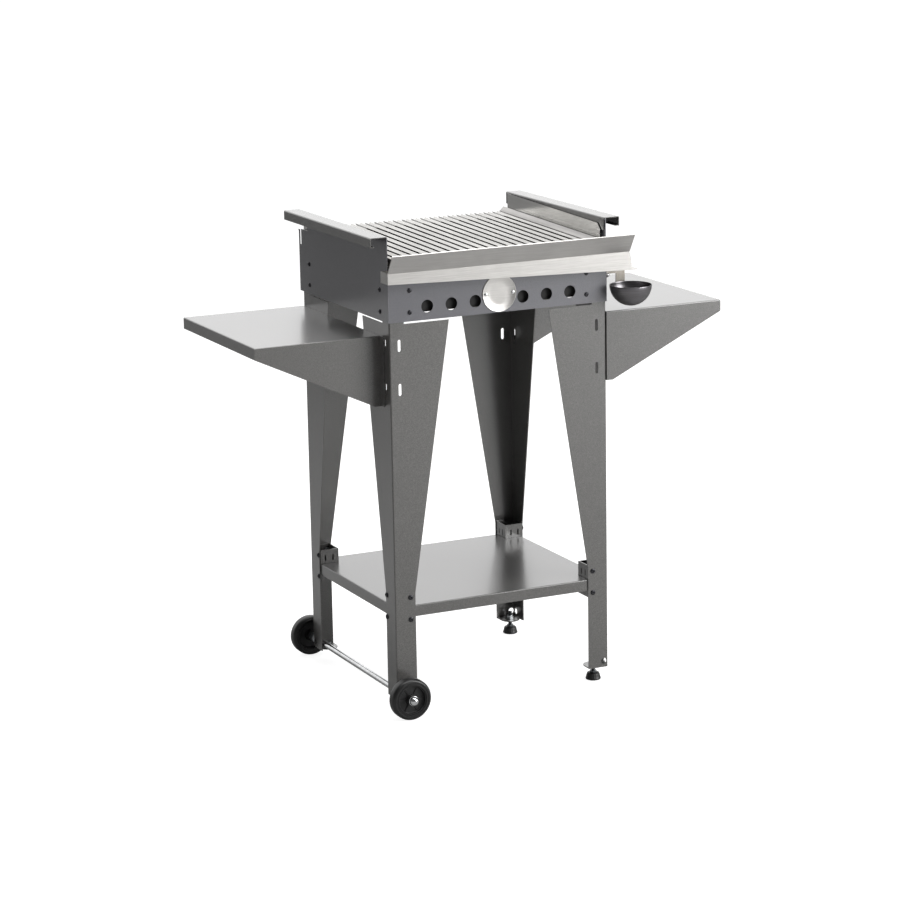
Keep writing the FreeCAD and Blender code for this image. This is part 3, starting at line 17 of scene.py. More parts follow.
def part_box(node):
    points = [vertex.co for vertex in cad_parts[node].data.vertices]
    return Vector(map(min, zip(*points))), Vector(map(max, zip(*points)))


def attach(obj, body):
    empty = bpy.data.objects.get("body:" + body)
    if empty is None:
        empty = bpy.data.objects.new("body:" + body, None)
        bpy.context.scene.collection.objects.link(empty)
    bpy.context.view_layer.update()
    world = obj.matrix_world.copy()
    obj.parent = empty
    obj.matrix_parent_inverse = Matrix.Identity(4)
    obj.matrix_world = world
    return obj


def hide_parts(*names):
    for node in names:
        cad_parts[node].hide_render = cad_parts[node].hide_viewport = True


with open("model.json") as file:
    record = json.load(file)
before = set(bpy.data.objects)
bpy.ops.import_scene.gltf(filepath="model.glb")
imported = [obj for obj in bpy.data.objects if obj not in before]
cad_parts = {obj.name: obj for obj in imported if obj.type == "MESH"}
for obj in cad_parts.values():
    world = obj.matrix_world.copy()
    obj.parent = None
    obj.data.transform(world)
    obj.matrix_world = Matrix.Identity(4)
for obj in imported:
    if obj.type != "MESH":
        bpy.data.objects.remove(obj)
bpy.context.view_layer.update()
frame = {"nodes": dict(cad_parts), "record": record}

nodes = frame["nodes"]
MM = 0.001

# %% [markdown]
# ## Camera
# A long lens from about six metres keeps the upright legs almost parallel, as in a catalogue
# picture. The camera looks down by 13 degrees from the front left. It is placed by its aim
# point, its direction and its distance, which is easier to reason about than raw coordinates.

# %% Camera
AZIMUTH = math.radians(-25.163)
ELEVATION = math.radians(12.933)
ROLL = math.radians(-1.047)
DISTANCE = 5.8738
AIM_RIGHT, AIM_UP, AIM_HEIGHT = -0.01072, 0.0417, 0.404
FOCAL, SENSOR_WIDTH = 120.15, 36    # mm

ahead = Vector((-math.sin(AZIMUTH) * math.cos(ELEVATION),
                math.cos(AZIMUTH) * math.cos(ELEVATION), -math.sin(ELEVATION)))
level_right = Vector((math.cos(AZIMUTH), math.sin(AZIMUTH), 0))
level_up = level_right.cross(ahead)
right = math.cos(ROLL) * level_right + math.sin(ROLL) * level_up
up = -math.sin(ROLL) * level_right + math.cos(ROLL) * level_up
aim = Vector((0, 0, AIM_HEIGHT)) + AIM_RIGHT * right + AIM_UP * up
place = aim - DISTANCE * ahead

camera_data = bpy.data.cameras.new("camera")
camera_data.lens = FOCAL
camera_data.sensor_width = SENSOR_WIDTH
camera = bpy.data.objects.new("camera", camera_data)
turn = Matrix((right, up, -ahead)).transposed().to_4x4()
camera.matrix_world = Matrix.Translation(place) @ turn
bpy.context.scene.collection.objects.link(camera)
bpy.context.scene.camera = camera
print("camera at", [round(v, 2) for v in place])

# %% [markdown]
# ## One function for colours and one for nodes
# Paint and metal colours are easiest to read as sRGB hex values, but shaders work in linear
# light, so one function converts them. A second function adds a shader node with its settings
# and links, which keeps each material's recipe to a few lines.


# %% Colour and node helpers
def linear(code):
    """An sRGB hex value as linear RGBA."""
    parts = [int(code[i:i + 2], 16) / 255 for i in (1, 3, 5)]
    return tuple(p / 12.92 if p <= 0.04045 else ((p + 0.055) / 1.055) ** 2.4
                 for p in parts) + (1.0,)


def add_node(tree, kind, inputs=None, **settings):
    """Adds a node: `settings` are its properties, `inputs` hold values or sockets to link."""
    node = tree.nodes.new("ShaderNode" + kind)
    for name, value in settings.items():
        setattr(node, name, value)
    for key, value in (inputs or {}).items():
        if isinstance(value, bpy.types.NodeSocket):
            tree.links.new(value, node.inputs[key])
        else:
            node.inputs[key].default_value = value
    return node


def new_material(name):
    """An empty node material with a Principled shader, and coordinates in metres."""
    material = bpy.data.materials.new(name)
    material.use_nodes = True
    tree = material.node_tree
    tree.nodes.clear()
    shader = add_node(tree, "BsdfPrincipled")
    add_node(tree, "OutputMaterial", {"Surface": shader.outputs[0]})
    place = add_node(tree, "TexCoord").outputs["Object"]
    return material, tree, shader, place


def ramp(tree, factor, stops):
    """A colour ramp from (position, colour) pairs; a number stands for a grey."""
    node = add_node(tree, "ValToRGB", {"Fac": factor})
    elements = node.color_ramp.elements
    while len(elements) < len(stops):
        elements.new(0.5)
    for element, (position, colour) in zip(elements, stops):
        element.position = position
        grey = isinstance(colour, (int, float))
        element.color = (colour, colour, colour, 1) if grey else colour
    return node.outputs["Color"]


def link(tree, shader, **sockets):
    """Links outputs to the shader's sockets, whose names are given with underscores."""
    for name, output in sockets.items():
        tree.links.new(output, shader.inputs[name.replace("_", " ")])


print("helpers ready")

# %% [markdown]
# ## Light
# Sheet metal shows what it reflects, so the surround matters more than the lamps. It is bright
# behind the grill, where the flat tops pick it up at a low angle, and dim in front and on the
# left. One soft box hangs overhead and one stands on the right, and both face the same point
# inside the stand.


# %% Soft boxes
LIT_POINT = Vector((0, 0, 0.6))


def soft_box(name, position, size, power):
    data = bpy.data.lights.new(name, "AREA")
    data.shape = "RECTANGLE"
    data.size, data.size_y = size
    data.energy = power
    lamp = bpy.data.objects.new(name, data)
    lamp.location = position
    facing = LIT_POINT - Vector(position)
    lamp.rotation_euler = facing.to_track_quat("-Z", "Y").to_euler()
    bpy.context.scene.collection.objects.link(lamp)


soft_box("overhead_box", (0.3, -0.5, 3.9), (3.6, 3.6), 150)
soft_box("right_box", (3.2, -3.4, 1.9), (2.6, 3.0), 255)

# %% [markdown]
# ## Surround and floor
# A white studio sweep would wash out the dark paint, because everything would reflect white.
# So a shader tells two kinds of ray apart: the camera itself sees a white sweep and a white
# floor, while the metal reflects a graded surround and a mid-grey floor.

# %% Surround
BRIGHT_SIDE = (0.25, 0.95, 0.1)    # the direction in which the surround is brightest
SURROUND_STRENGTH = 1.35           # what the metal reflects
SWEEP_STRENGTH = 1.05              # the white that the camera sees
WHITE = (1, 1, 1, 1)

world = bpy.data.worlds.new("surround")
world.use_nodes = True
sky = world.node_tree
sky.nodes.clear()
ray = add_node(sky, "TexCoord").outputs["Generated"]
backwards = add_node(sky, "VectorMath", {0: ray, 1: BRIGHT_SIDE}, operation="DOT_PRODUCT")
bright = ramp(sky, backwards.outputs["Value"], [(0.05, 0.10), (0.45, 0.22), (0.85, 1.0)])
seen = add_node(sky, "LightPath").outputs["Is Camera Ray"]
surround = add_node(sky, "Background", {"Color": bright, "Strength": SURROUND_STRENGTH})
sweep = add_node(sky, "Background", {"Color": WHITE, "Strength": SWEEP_STRENGTH})
add_node(sky, "OutputWorld", {"Surface": add_node(
    sky, "MixShader", {0: seen, 1: surround.outputs[0], 2: sweep.outputs[0]}).outputs[0]})
bpy.context.scene.world = world
bpy.context.scene.view_settings.view_transform = "Standard"
print("surround brightest towards", BRIGHT_SIDE)

# %% Floor
FLOOR_DROP = 0.5 * MM       # keeps the floor's skin apart from the tyres'
FLOOR_PATCHES = 0.6         # paper patches to a metre
FLOOR_GLOW = 0.86           # lifts the grey paper to white for the camera alone

bpy.ops.mesh.primitive_plane_add(size=90, location=(0, 20, -FLOOR_DROP))
floor = bpy.context.object
floor.name = "floor"
floor_paper, tree, shader, place = new_material("white_background_paper")
mottle = add_node(tree, "TexNoise", {"Vector": place, "Scale": FLOOR_PATCHES, "Detail": 2.0})
link(tree, shader, Base_Color=ramp(tree, mottle.outputs["Fac"],
                                   [(0.3, linear("#a9a9a8")), (0.7, linear("#b2b2b2"))]))
shader.inputs["Roughness"].default_value = 0.9
shader.inputs["Emission Color"].default_value = WHITE
seen = add_node(tree, "LightPath").outputs["Is Camera Ray"]
glow = add_node(tree, "Math", {0: seen, 1: FLOOR_GLOW}, operation="MULTIPLY")
link(tree, shader, Emission_Strength=glow.outputs[0])
floor.data.materials.append(floor_paper)
print("floor top at", floor.location.z)

# %% [markdown]
# ## Powder coat
# The legs, shelves and rails carry a fine-textured powder coat in iron grey. Powder melts into
# a skin with a faint orange peel and tiny lighter and darker specks. It could be a plain grey,
# but then wide sheets look like cardboard. A noise of grain size drives the specks, and a
# coarser one drives the orange peel. A little metal flake gives it depth, and the clear resin
# on top, the shader's coat, mirrors the surround at low angles. The firebox has a smoother
# satin version, lighter and a little bluer, with a weaker clear skin.


# %% Powder coats
POWDER_IOR, RESIN_IOR = 1.52, 1.7    # resin is near 1.5; raised to match the sheen
RESIN_ROUGHNESS = 0.2
CLOUD_MM = 220    # slow drift of the tone over a wide sheet


def powder_coat(name, dark, middle, light, grain_mm, peel_mm, peel_height_mm, roughness, flake,
                resin):
    material, tree, shader, place = new_material(name)
    grain = add_node(tree, "TexNoise", {"Vector": place, "Scale": 1 / (grain_mm * MM),
                                        "Detail": 3.0, "Roughness": 0.6})
    peel = add_node(tree, "TexNoise", {"Vector": place, "Scale": 1 / (peel_mm * MM),
                                       "Detail": 2.0})
    cloud = add_node(tree, "TexNoise", {"Vector": place, "Scale": 1 / (CLOUD_MM * MM),
                                        "Detail": 2.0})
    specks = ramp(tree, grain.outputs["Fac"],
                  [(0.30, linear(dark)), (0.50, linear(middle)), (0.72, linear(light))])
    shade = ramp(tree, cloud.outputs["Fac"], [(0.3, 0.93), (0.7, 1.0)])
    colour = add_node(tree, "Mix", {0: 1.0, 6: specks, 7: shade}, data_type="RGBA",
                      blend_type="MULTIPLY")
    gloss = add_node(tree, "MapRange", {"Value": grain.outputs["Fac"], "To Min": roughness - 0.05,
                                        "To Max": roughness + 0.07})
    fine = add_node(tree, "Bump", {"Height": grain.outputs["Fac"], "Distance": 0.05 * MM,
                                   "Strength": 0.5})
    bump = add_node(tree, "Bump", {"Height": peel.outputs["Fac"],
                                   "Distance": peel_height_mm * MM, "Strength": 0.6,
                                   "Normal": fine.outputs[0]})
    link(tree, shader, Base_Color=colour.outputs[2], Roughness=gloss.outputs[0],
         Normal=bump.outputs[0])
    shader.inputs["Metallic"].default_value = flake
    shader.inputs["IOR"].default_value = POWDER_IOR
    shader.inputs["Coat Weight"].default_value = resin
    shader.inputs["Coat Roughness"].default_value = RESIN_ROUGHNESS
    shader.inputs["Coat IOR"].default_value = RESIN_IOR
    return material


# the real grain is about 0.4 mm; it is drawn at 1.3 and 1.6 mm so that it shows
stand_coat = powder_coat("iron_grey_textured_powder_coat", "#3d3c3b", "#4c4b49", "#605e5c",
                         grain_mm=1.3, peel_mm=4.0, peel_height_mm=0.08, roughness=0.38,
                         flake=0.2, resin=1.0)
firebox_coat = powder_coat("anthracite_satin_powder_coat", "#55555a", "#5c5c61", "#646469",
                           grain_mm=1.6, peel_mm=7.0, peel_height_mm=0.05, roughness=0.36,
                           flake=0.2, resin=0.6)
print(stand_coat.name, firebox_coat.name)

# %% [markdown]
# ## Brushed and spun stainless steel
# The V bars, the gutter and the badge are brushed sheet: an abrasive belt leaves fine parallel
# scratches that stretch highlights across them. Noise squeezed along one axis gives such
# scratches. The grate's side plates keep the bright finish of the rolling mill. Its outer
# strips are a darker, duller sheet, and the same sheet is painted shade on the gutter's faces
# that look down and forward. The drip bowl is spun on a lathe instead, so its lines run round
# it, and the same noise is squeezed along the bowl's height. Its hanger is a satin strap with
# lines along its length. Metals keep the default IOR.


# %% Stainless finishes
SMUDGE_MM = 60    # patches that hands and cloths leave


def scratched_steel(name, dark, light, scratch_mm, stretch, roughness, depth_mm=0.012,
                    anisotropy=0.5):
    """`stretch` divides the noise's frequency along X, Y and Z."""
    material, tree, shader, place = new_material(name)
    scale = [1 / (scratch_mm * MM * s) for s in stretch]
    squeezed = add_node(tree, "Mapping", {"Vector": place, "Scale": scale})
    lines = add_node(tree, "TexNoise", {"Vector": squeezed.outputs[0], "Scale": 1.0,
                                        "Detail": 4.0, "Roughness": 0.65})
    smudge = add_node(tree, "TexNoise", {"Vector": place, "Scale": 1 / (SMUDGE_MM * MM),
                                         "Detail": 3.0})
    tone = ramp(tree, lines.outputs["Fac"], [(0.25, linear(dark)), (0.75, linear(light))])
    film = ramp(tree, smudge.outputs["Fac"], [(0.35, 0.92), (0.65, 1.0)])
    colour = add_node(tree, "Mix", {0: 1.0, 6: tone, 7: film}, data_type="RGBA",
                      blend_type="MULTIPLY")
    worn = add_node(tree, "MapRange", {"Value": smudge.outputs["Fac"], "To Min": roughness + 0.05,
                                       "To Max": roughness - 0.05})
    bump = add_node(tree, "Bump", {"Height": lines.outputs["Fac"], "Distance": depth_mm * MM,
                                   "Strength": 0.7})
    link(tree, shader, Base_Color=colour.outputs[2], Roughness=worn.outputs[0],
         Normal=bump.outputs[0])
    shader.inputs["Metallic"].default_value = 1.0
    shader.inputs["Anisotropic"].default_value = anisotropy
    return material


# real scratches are about 0.1 mm wide; they are drawn near 1 mm so that they show
brushed_across = scratched_steel("brushed_stainless_along_x", "#b9b7b4", "#d9d7d4", 0.9,
                                 (60, 1, 1), 0.30)
brushed_deep = scratched_steel("brushed_stainless_along_y", "#d2d0cd", "#eae9e6", 0.9,
                               (1, 200, 1), 0.27, depth_mm=0.004)
bright_sheet = scratched_steel("bright_rolled_stainless", "#dcdbd8", "#efeeec", 1.1,
                               (1, 200, 1), 0.18, depth_mm=0.002)
# a darker, duller sheet; on the gutter's faces that look down and forward it is painted shade
dull_sheet = scratched_steel("darker_stainless_and_painted_shade", "#b4b2b0", "#cccac8", 0.9,
                             (60, 1, 1), 0.36)
spun_steel = scratched_steel("spun_stainless_steel", "#62605f", "#828085", 0.8, (90, 90, 1), 0.30)
strap_steel = scratched_steel("satin_stainless_strap", "#8f8a82", "#aaa59d", 0.9, (1, 1, 40), 0.38)
print([m.name for m in (brushed_across, brushed_deep, bright_sheet, dull_sheet, spun_steel,
                        strap_steel)])

# %% [markdown]
# ## Plated, blackened and painted hardware
# Zinc plate is a soft bluish grey with a crystalline mottle, and the feet's stems wear an older,
# duller one. Chrome is nearly a mirror with a little haze. Screws are black oxide, a thin dark
# skin over steel. The fire tray wears matt heat-resistant paint, which swallows light, and the
# charcoal rods are hot-rolled steel, whose mill scale is dark and patchy.


# %% Hardware finishes
def mottled(name, dark, light, spot_mm, metallic, roughness, spread, bump_mm):
    material, tree, shader, place = new_material(name)
    spots = add_node(tree, "TexNoise", {"Vector": place, "Scale": 1 / (spot_mm * MM),
                                        "Detail": 4.0, "Roughness": 0.6})
    gloss = add_node(tree, "MapRange", {"Value": spots.outputs["Fac"],
                                        "To Min": roughness - spread,
                                        "To Max": roughness + spread})
    bump = add_node(tree, "Bump", {"Height": spots.outputs["Fac"], "Distance": bump_mm * MM,
                                   "Strength": 0.5})
    link(tree, shader, Base_Color=ramp(tree, spots.outputs["Fac"], [(0.3, linear(dark)),
                                                                    (0.7, linear(light))]),
         Roughness=gloss.outputs[0], Normal=bump.outputs[0])
    shader.inputs["Metallic"].default_value = metallic
    return material


stem_steel = mottled("dull_zinc_plate", "#54575a", "#74777a", 2.0, 1.0, 0.36, 0.06, 0.01)
zinc_plate = mottled("bright_zinc_plate", "#9fa3a6", "#c6c9cb", 2.2, 1.0, 0.34, 0.06, 0.01)
chrome_plate = mottled("bright_chrome_plate", "#c4c5c6", "#dddedf", 9.0, 1.0, 0.13, 0.04, 0.003)
black_oxide = mottled("black_oxide_steel", "#2c2c2e", "#434347", 1.5, 0.8, 0.30, 0.06, 0.01)
heat_paint = mottled("matt_heat_resistant_paint", "#0f0e0e", "#1a1918", 3.0, 0.0, 0.75, 0.08, 0.05)
mill_scale = mottled("hot_rolled_mill_scale", "#2b2927", "#45413d", 5.0, 0.7, 0.55, 0.1, 0.04)
print("hardware finishes ready")

# %% [markdown]
# ## Rubber and moulded plastic
# The tyres are carbon-black rubber, dull, with a bloom that lightens it in patches. Hubs and
# feet are moulded in a black engineering plastic whose spark-eroded mould leaves a fine grain.

# %% Rubber and plastics
# the moulds' real grain is about 0.1 mm; it is drawn near 1 mm so that it shows
tyre_rubber = mottled("black_rubber", "#0d0d0e", "#191919", 1.6, 0.0, 0.36, 0.06, 0.03)
hub_plastic = mottled("moulded_black_polypropylene", "#101011", "#1a1a1b", 0.9, 0.0, 0.42, 0.05,
                      0.03)
foot_plastic = mottled("moulded_black_nylon", "#131314", "#202021", 0.9, 0.0, 0.46, 0.05, 0.03)
for plastic, ior in ((tyre_rubber, 1.52), (hub_plastic, 1.49), (foot_plastic, 1.53)):
    plastic.node_tree.nodes["Principled BSDF"].inputs["IOR"].default_value = ior
print("rubber and plastics ready")

# %% [markdown]
# ## Paint the sheet-metal pieces
# Folded sheet is already exact in the engineering model, so those pieces only take a finish.
# Each node's own record says which slot it belongs to, and one table turns slots into finishes.

# %% Finishes of the engineering model
finish_of = {
    "stand_paint": stand_coat,
    "firebox_paint": firebox_coat,
    "stainless": brushed_deep,
    "spun_steel": spun_steel,
    "strap_steel": strap_steel,
    "firebox_steel": heat_paint,
    "rod_steel": mill_scale,
    "dark_screws": black_oxide,
    "zinc": zinc_plate,
    "chrome": chrome_plate,
    "tyre_rubber": tyre_rubber,
    "hub_plastic": hub_plastic,
    "foot_plastic": foot_plastic,
}
# stainless nodes whose sheet isn't brushed along Y
sheet_of = {
    "grease_gutter": brushed_across, "grate_cross_bars": brushed_across, "badge": brushed_across,
    "grate_side_left": bright_sheet, "grate_side_right": bright_sheet,
    "grate_edge_left": dull_sheet, "grate_edge_right": dull_sheet,
}
for part in frame["record"]["subparts"]:
    finish = sheet_of.get(part["node"], finish_of[part["material_slot"]])
    mesh = nodes[part["node"]].data
    if not mesh.materials:
        mesh.materials.append(finish)
    for i in range(len(mesh.materials)):
        mesh.materials[i] = finish
# the gutter's apron, on its faces that look down and forward, takes a second, darker sheet as
# painted shade
gutter = nodes["grease_gutter"].data
gutter.materials.append(dull_sheet)
for face in gutter.polygons:
    if face.normal.y < -0.5 and face.normal.z < -0.3:
        face.material_index = len(gutter.materials) - 1

# %% [markdown]
# ## Turned and threaded shapes
# Screws, nuts, tyres, hubs and feet are round about an axis. Each is a stack of rings joined
# into one skin. A ring's radius may change with the angle, so the same stack gives a circle, a
# hexagon or a thread. A modifier such as Screw could spin a profile too, but not a hexagon.


# %% Outlines of a ring
def circle(radius):
    return lambda angle: radius


def hexagon(flat):
    """Distance to a hexagon's side at an angle; `flat` is half its width across flats."""
    step = math.pi / 3
    return lambda angle: flat / math.cos((angle % step) - step / 2)


def cut_corners(shape, limit):
    """A hexagon whose corners are turned off at `limit`."""
    return lambda angle: min(shape(angle), limit)


print("hexagon's corner at", round(hexagon(1.0)(0.0), 3), "times its flat")


# %% Skins from rings
def dome(radius, start, rise, count, whole):
    """Rings of a dome; `whole` steps would close it, so fewer leave a small flat."""
    turns = [math.radians(90 * i / whole) for i in range(1, count + 1)]
    return [(circle(radius * math.cos(t)), start + rise * math.sin(t)) for t in turns]


def skin(bm, rings, matrix, steps=48, closed=False):
    """Joins (shape, height) rings into a skin along local Z; open stacks get end caps."""
    loops = []
    for shape, height in rings:
        loop = []
        for i in range(steps):
            angle = 2 * math.pi * i / steps
            r = shape(angle)
            loop.append(bm.verts.new(matrix @ Vector((r * math.cos(angle),
                                                      r * math.sin(angle), height))))
        loops.append(loop)
    pairs = list(zip(loops, loops[1:]))
    if closed:
        pairs.append((loops[-1], loops[0]))
    for low, high in pairs:
        for i in range(steps):
            j = (i + 1) % steps
            bm.faces.new((low[i], low[j], high[j], high[i]))
    if not closed:
        bm.faces.new(loops[0][::-1])
        bm.faces.new(loops[-1])


print("a quarter-round dome has", len(dome(1.0, 0.0, 1.0, 8, 8.4)), "rings")


# %% From a mesh to a piece
BEVEL_ANGLE = math.radians(35)


def finish_piece(node, bm, material, body, smooth=35, bevel=0):
    """Turns a bmesh into a piece that stands for a node and rides on its body."""
    name = node + "_detailed"
    bmesh.ops.recalc_face_normals(bm, faces=bm.faces)
    mesh = bpy.data.meshes.new(name)
    bm.to_mesh(mesh)
    bm.free()
    mesh.materials.append(material)
    piece = bpy.data.objects.new(name, mesh)
    bpy.context.scene.collection.objects.link(piece)
    if bevel:
        edge = piece.modifiers.new("edge", "BEVEL")
        edge.width, edge.segments, edge.limit_method = bevel, 2, "ANGLE"
        edge.angle_limit = BEVEL_ANGLE
    mesh.shade_smooth()
    mesh.set_sharp_from_angle(angle=math.radians(smooth))
    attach(piece, body)
    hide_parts(node)


print("edges sharper than", round(math.degrees(BEVEL_ANGLE)), "degrees may take a bevel")


# %% Places read from the model
def pointing(origin, direction):
    """A matrix that puts local Z along `direction` at `origin`."""
    aimed = Vector(direction).to_track_quat("Z", "Y").to_matrix().to_4x4()
    return Matrix.Translation(origin) @ aimed


def solids_of(node):
    """The box of every separate solid in a node, lowest corner and highest corner."""
    bm = bmesh.new()
    bm.from_mesh(nodes[node].data)
    bmesh.ops.remove_doubles(bm, verts=bm.verts, dist=1e-6)
    boxes, seen = [], set()
    for start in bm.verts:
        if start in seen:
            continue
        seen.add(start)
        stack, found = [start], []
        while stack:
            vertex = stack.pop()
            found.append(vertex.co.copy())
            for edge in vertex.link_edges:
                other = edge.other_vert(vertex)
                if other not in seen:
                    seen.add(other)
                    stack.append(other)
        boxes.append((Vector(map(min, *found)), Vector(map(max, *found))))
    bm.free()
    return boxes


print("bracket bolts:", len(solids_of("bracket_bolts")))

# %% [markdown]
# ## Screws and bolts
# The panels and legs are held by button-head screws with a hexagon socket, in black oxide. The
# head is a low dome with a small edge radius, and the socket is a real recess. The shank has a
# rolled thread: a ridge that climbs one pitch per turn. It needs a ring every fifth of a pitch,
# which is few enough for every screw to have one.


# %% Button-head screws
THREAD_DEPTH = 0.54       # of the pitch, as in a metric thread
RINGS_TO_A_PITCH = 5


def thread(major, pitch, depth, height):
    """A thread's ring at a height: its ridge climbs one pitch to a turn."""
    def shape(angle):
        phase = (height / pitch - angle / (2 * math.pi)) % 1.0
        return major - depth * abs(2 * phase - 1)
    return shape


def thread_rings(major, pitch, low, high):
    """A threaded length with a chamfered start at `low`."""
    depth = pitch * THREAD_DEPTH
    count = max(2, int((high - low) / (pitch / RINGS_TO_A_PITCH)))
    rings = [(circle(major - depth * 1.2), low)]
    for i in range(1, count):
        height = low + (high - low) * i / count
        rings.append((thread(major, pitch, depth, height), height))
    return rings


def button_screw(bm, base, direction, shank, grip, head, rise):
    """Head at `base`, shank reaching back by `grip`."""
    socket = shank * 0.62
    rings = thread_rings(shank, shank * 0.33, -grip, -0.0002)
    rings += [(circle(shank), -0.0001), (circle(shank), 0.0), (circle(head * 0.97), 0.0),
              (circle(head), rise * 0.10), (circle(head), rise * 0.22)]
    for i in range(1, 8):
        turn = math.radians(90 * i / 8)
        rings.append((circle(head * (0.42 + 0.58 * math.cos(turn))),
                      rise * (0.22 + 0.78 * math.sin(turn))))
    rings += [(hexagon(socket * 1.08), rise), (hexagon(socket), rise * 0.93),
              (hexagon(socket), rise * 0.25), (circle(socket * 0.3), rise * 0.18)]
    skin(bm, rings, pointing(base, direction), steps=36)


def screws_from(node, shank, head, rise):
    """A detailed screw in place of every plain one in a node."""
    bm = bmesh.new()
    boxes = solids_of(node)
    for low, high in boxes:
        size, middle = high - low, (low + high) / 2
        across = sorted(size)[1]    # two sides of the box are the head's width
        axis = max(range(3), key=lambda a: abs(size[a] - across))
        outward = 1 if middle[axis] > 0 else -1
        direction = [0, 0, 0]
        direction[axis] = outward
        base = middle.copy()
        base[axis] = (high[axis] if outward > 0 else low[axis]) - outward * rise
        button_screw(bm, base, direction, shank, size[axis] - rise, head, rise)
    finish_piece(node, bm, black_oxide, "stand")
    return len(boxes)


M5, M6 = 2.5 * MM, 3.0 * MM    # shank radii
print(screws_from("face_panel_screws", M5, M5 * 1.8, M5 * 0.8), "front and rear screws")
print(screws_from("side_panel_screws", M5, M5 * 1.8, M5 * 0.8), "side screws")
print(screws_from("bracket_bolts", M6, M6 * 1.7, M6 * 0.8), "bracket bolts")

# %% [markdown]
# ## Nuts
# Hexagon nuts have their corners turned off at 30 degrees on both faces, which is what makes a
# nut look like a nut. The ring stack does it by limiting each ring to a smaller circle near
# the faces. The nuts on the legs' toes carry the levelling feet and are zinc plated.


# %% Hexagon nuts
def hex_nut(bm, base, direction, flat, height, bore):
    corner = flat / math.cos(math.pi / 6)
    side = hexagon(flat)
    bevel = (corner - flat) * 0.6
    rings = [(circle(bore), 0), (cut_corners(side, flat * 0.99), 0),
             (cut_corners(side, corner), bevel), (cut_corners(side, corner), height - bevel),
             (cut_corners(side, flat * 0.99), height), (circle(bore * 1.12), height),
             (circle(bore), height - bore * 0.12)]
    skin(bm, rings, pointing(base, direction), steps=72, closed=True)


def nuts_from(node, bore):
    """A detailed nut in place of every plain one in a node."""
    bm = bmesh.new()
    boxes = solids_of(node)
    for low, high in boxes:
        size, middle = high - low, (low + high) / 2
        axis = min(range(3), key=lambda a: size[a])    # a nut is lower than it is wide
        direction = [0, 0, 0]
        direction[axis] = 1
        base = middle.copy()
        base[axis] = low[axis]
        flat = min(size[a] for a in range(3) if a != axis) / 2
        hex_nut(bm, base, direction, flat, size[axis], bore)
    finish_piece(node, bm, zinc_plate, "stand", smooth=28)
    return len(boxes)


print(nuts_from("bracket_nuts", M6), "bracket nuts")
M8_CLEARANCE = 4.08 * MM    # radius of the hole round the feet's stems
print(nuts_from("weld_nuts", M8_CLEARANCE), "nuts on the toes")

# %% [markdown]
# ## Levelling feet
# Each foot is a tapered plastic base moulded on a threaded stem, with a small hexagon to turn
# it by. The base has a stepped skirt, and a ring of shallow ribs for the fingers.


# %% Bases of the feet
FOOT_RIBS = 18
GRIP_START = 5.2 * MM    # where the finger ribs begin, above the skirt
M8, M8_PITCH = 4 * MM, 1.25 * MM


def ribbed(radius, depth):
    """A circle with a shallow groove between every two finger ribs."""
    return lambda angle: radius - depth * (0.5 + 0.5 * math.cos(FOOT_RIBS * angle)) ** 3


def foot_base(end):
    low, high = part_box("foot_base_" + end)
    middle = (low + high) / 2
    radius, height = (high.x - low.x) / 2, high.z - low.z
    rings = [(circle(radius * 0.90), 0), (circle(radius * 0.97), 0.6 * MM),
             (circle(radius), 1.6 * MM), (circle(radius), 3.0 * MM),
             (circle(radius * 0.955), 4.0 * MM), (ribbed(radius * 0.93, 0.4 * MM), GRIP_START)]
    for i in range(1, 6):
        share = i / 6
        rings.append((ribbed(radius * (0.93 - 0.09 * share), 0.5 * MM),
                      GRIP_START + (height - 7.5 * MM) * share))
    rings += [(circle(radius * 0.82), height - 1.8 * MM),
              (circle(radius * 0.76), height - 0.6 * MM),
              (circle(radius * 0.68), height), (circle(radius * 0.36), height)]
    bm = bmesh.new()
    skin(bm, rings, Matrix.Translation((middle.x, middle.y, low.z)), steps=108)
    finish_piece("foot_base_" + end, bm, foot_plastic, end + "_foot", smooth=30)
    return round(radius * 2000, 1)


print("finger ribs:", FOOT_RIBS)

# %% Threaded stems
COLLAR = 4 * MM    # height of the hexagon above the base


def foot_stem(end):
    """Drawn from the top down: the thread, then the hexagon that rests on the base."""
    base_low, base_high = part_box("foot_base_" + end)
    low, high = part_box("foot_stem_" + end)
    middle, height = (base_low + base_high) / 2, base_high.z - base_low.z
    upper, lower = high.z - (height + COLLAR), high.z - height
    flat = (high.y - low.y) / 2 * math.cos(math.pi / 6)
    side = hexagon(flat)
    rings = [(circle(M8 * 0.72), 0.0)] + thread_rings(M8, M8_PITCH, 0.6 * MM, upper)
    rings += [(circle(M8 * 0.86), upper), (cut_corners(side, flat), upper),
              (side, upper + 0.7 * MM), (side, lower - 0.7 * MM),
              (cut_corners(side, flat), lower), (circle(M8 * 0.9), lower + 0.1 * MM)]
    top = Matrix.Translation((middle.x, middle.y, high.z)) @ Matrix.Rotation(math.pi, 4, "X")
    bm = bmesh.new()
    skin(bm, rings, top, steps=72)
    finish_piece("foot_stem_" + end, bm, stem_steel, end + "_foot", smooth=28)
    return round(flat * 2000, 1)


for end in ("front", "rear"):
    print(end, "foot: base and hexagon in mm", foot_base(end), foot_stem(end))

# %% [markdown]
# ## Wheels
# A wheel is a solid rubber tyre pressed on a black plastic hub. The tyre has a gently crowned
# tread and two raised rings on each wall. The hub is dished: a rim, a recessed web with ribs
# and a boss. The tyre and hub are turned from closed profiles, and the ribs are added after.


# %% Tyres
# radius and rise over the wall in mm, from the seat to the shoulder, for a radius of 40 mm
TYRE_WALL = ((29.0, 0.0), (30.2, 0.0), (30.6, -0.9), (33.2, -0.9), (33.6, -0.1), (35.0, -0.1),
             (35.4, -0.9), (36.6, -1.1), (37.4, -1.9), (38.6, -2.9), (39.4, -4.4))
CROWN = 0.12 * MM    # how far the tread falls from its middle


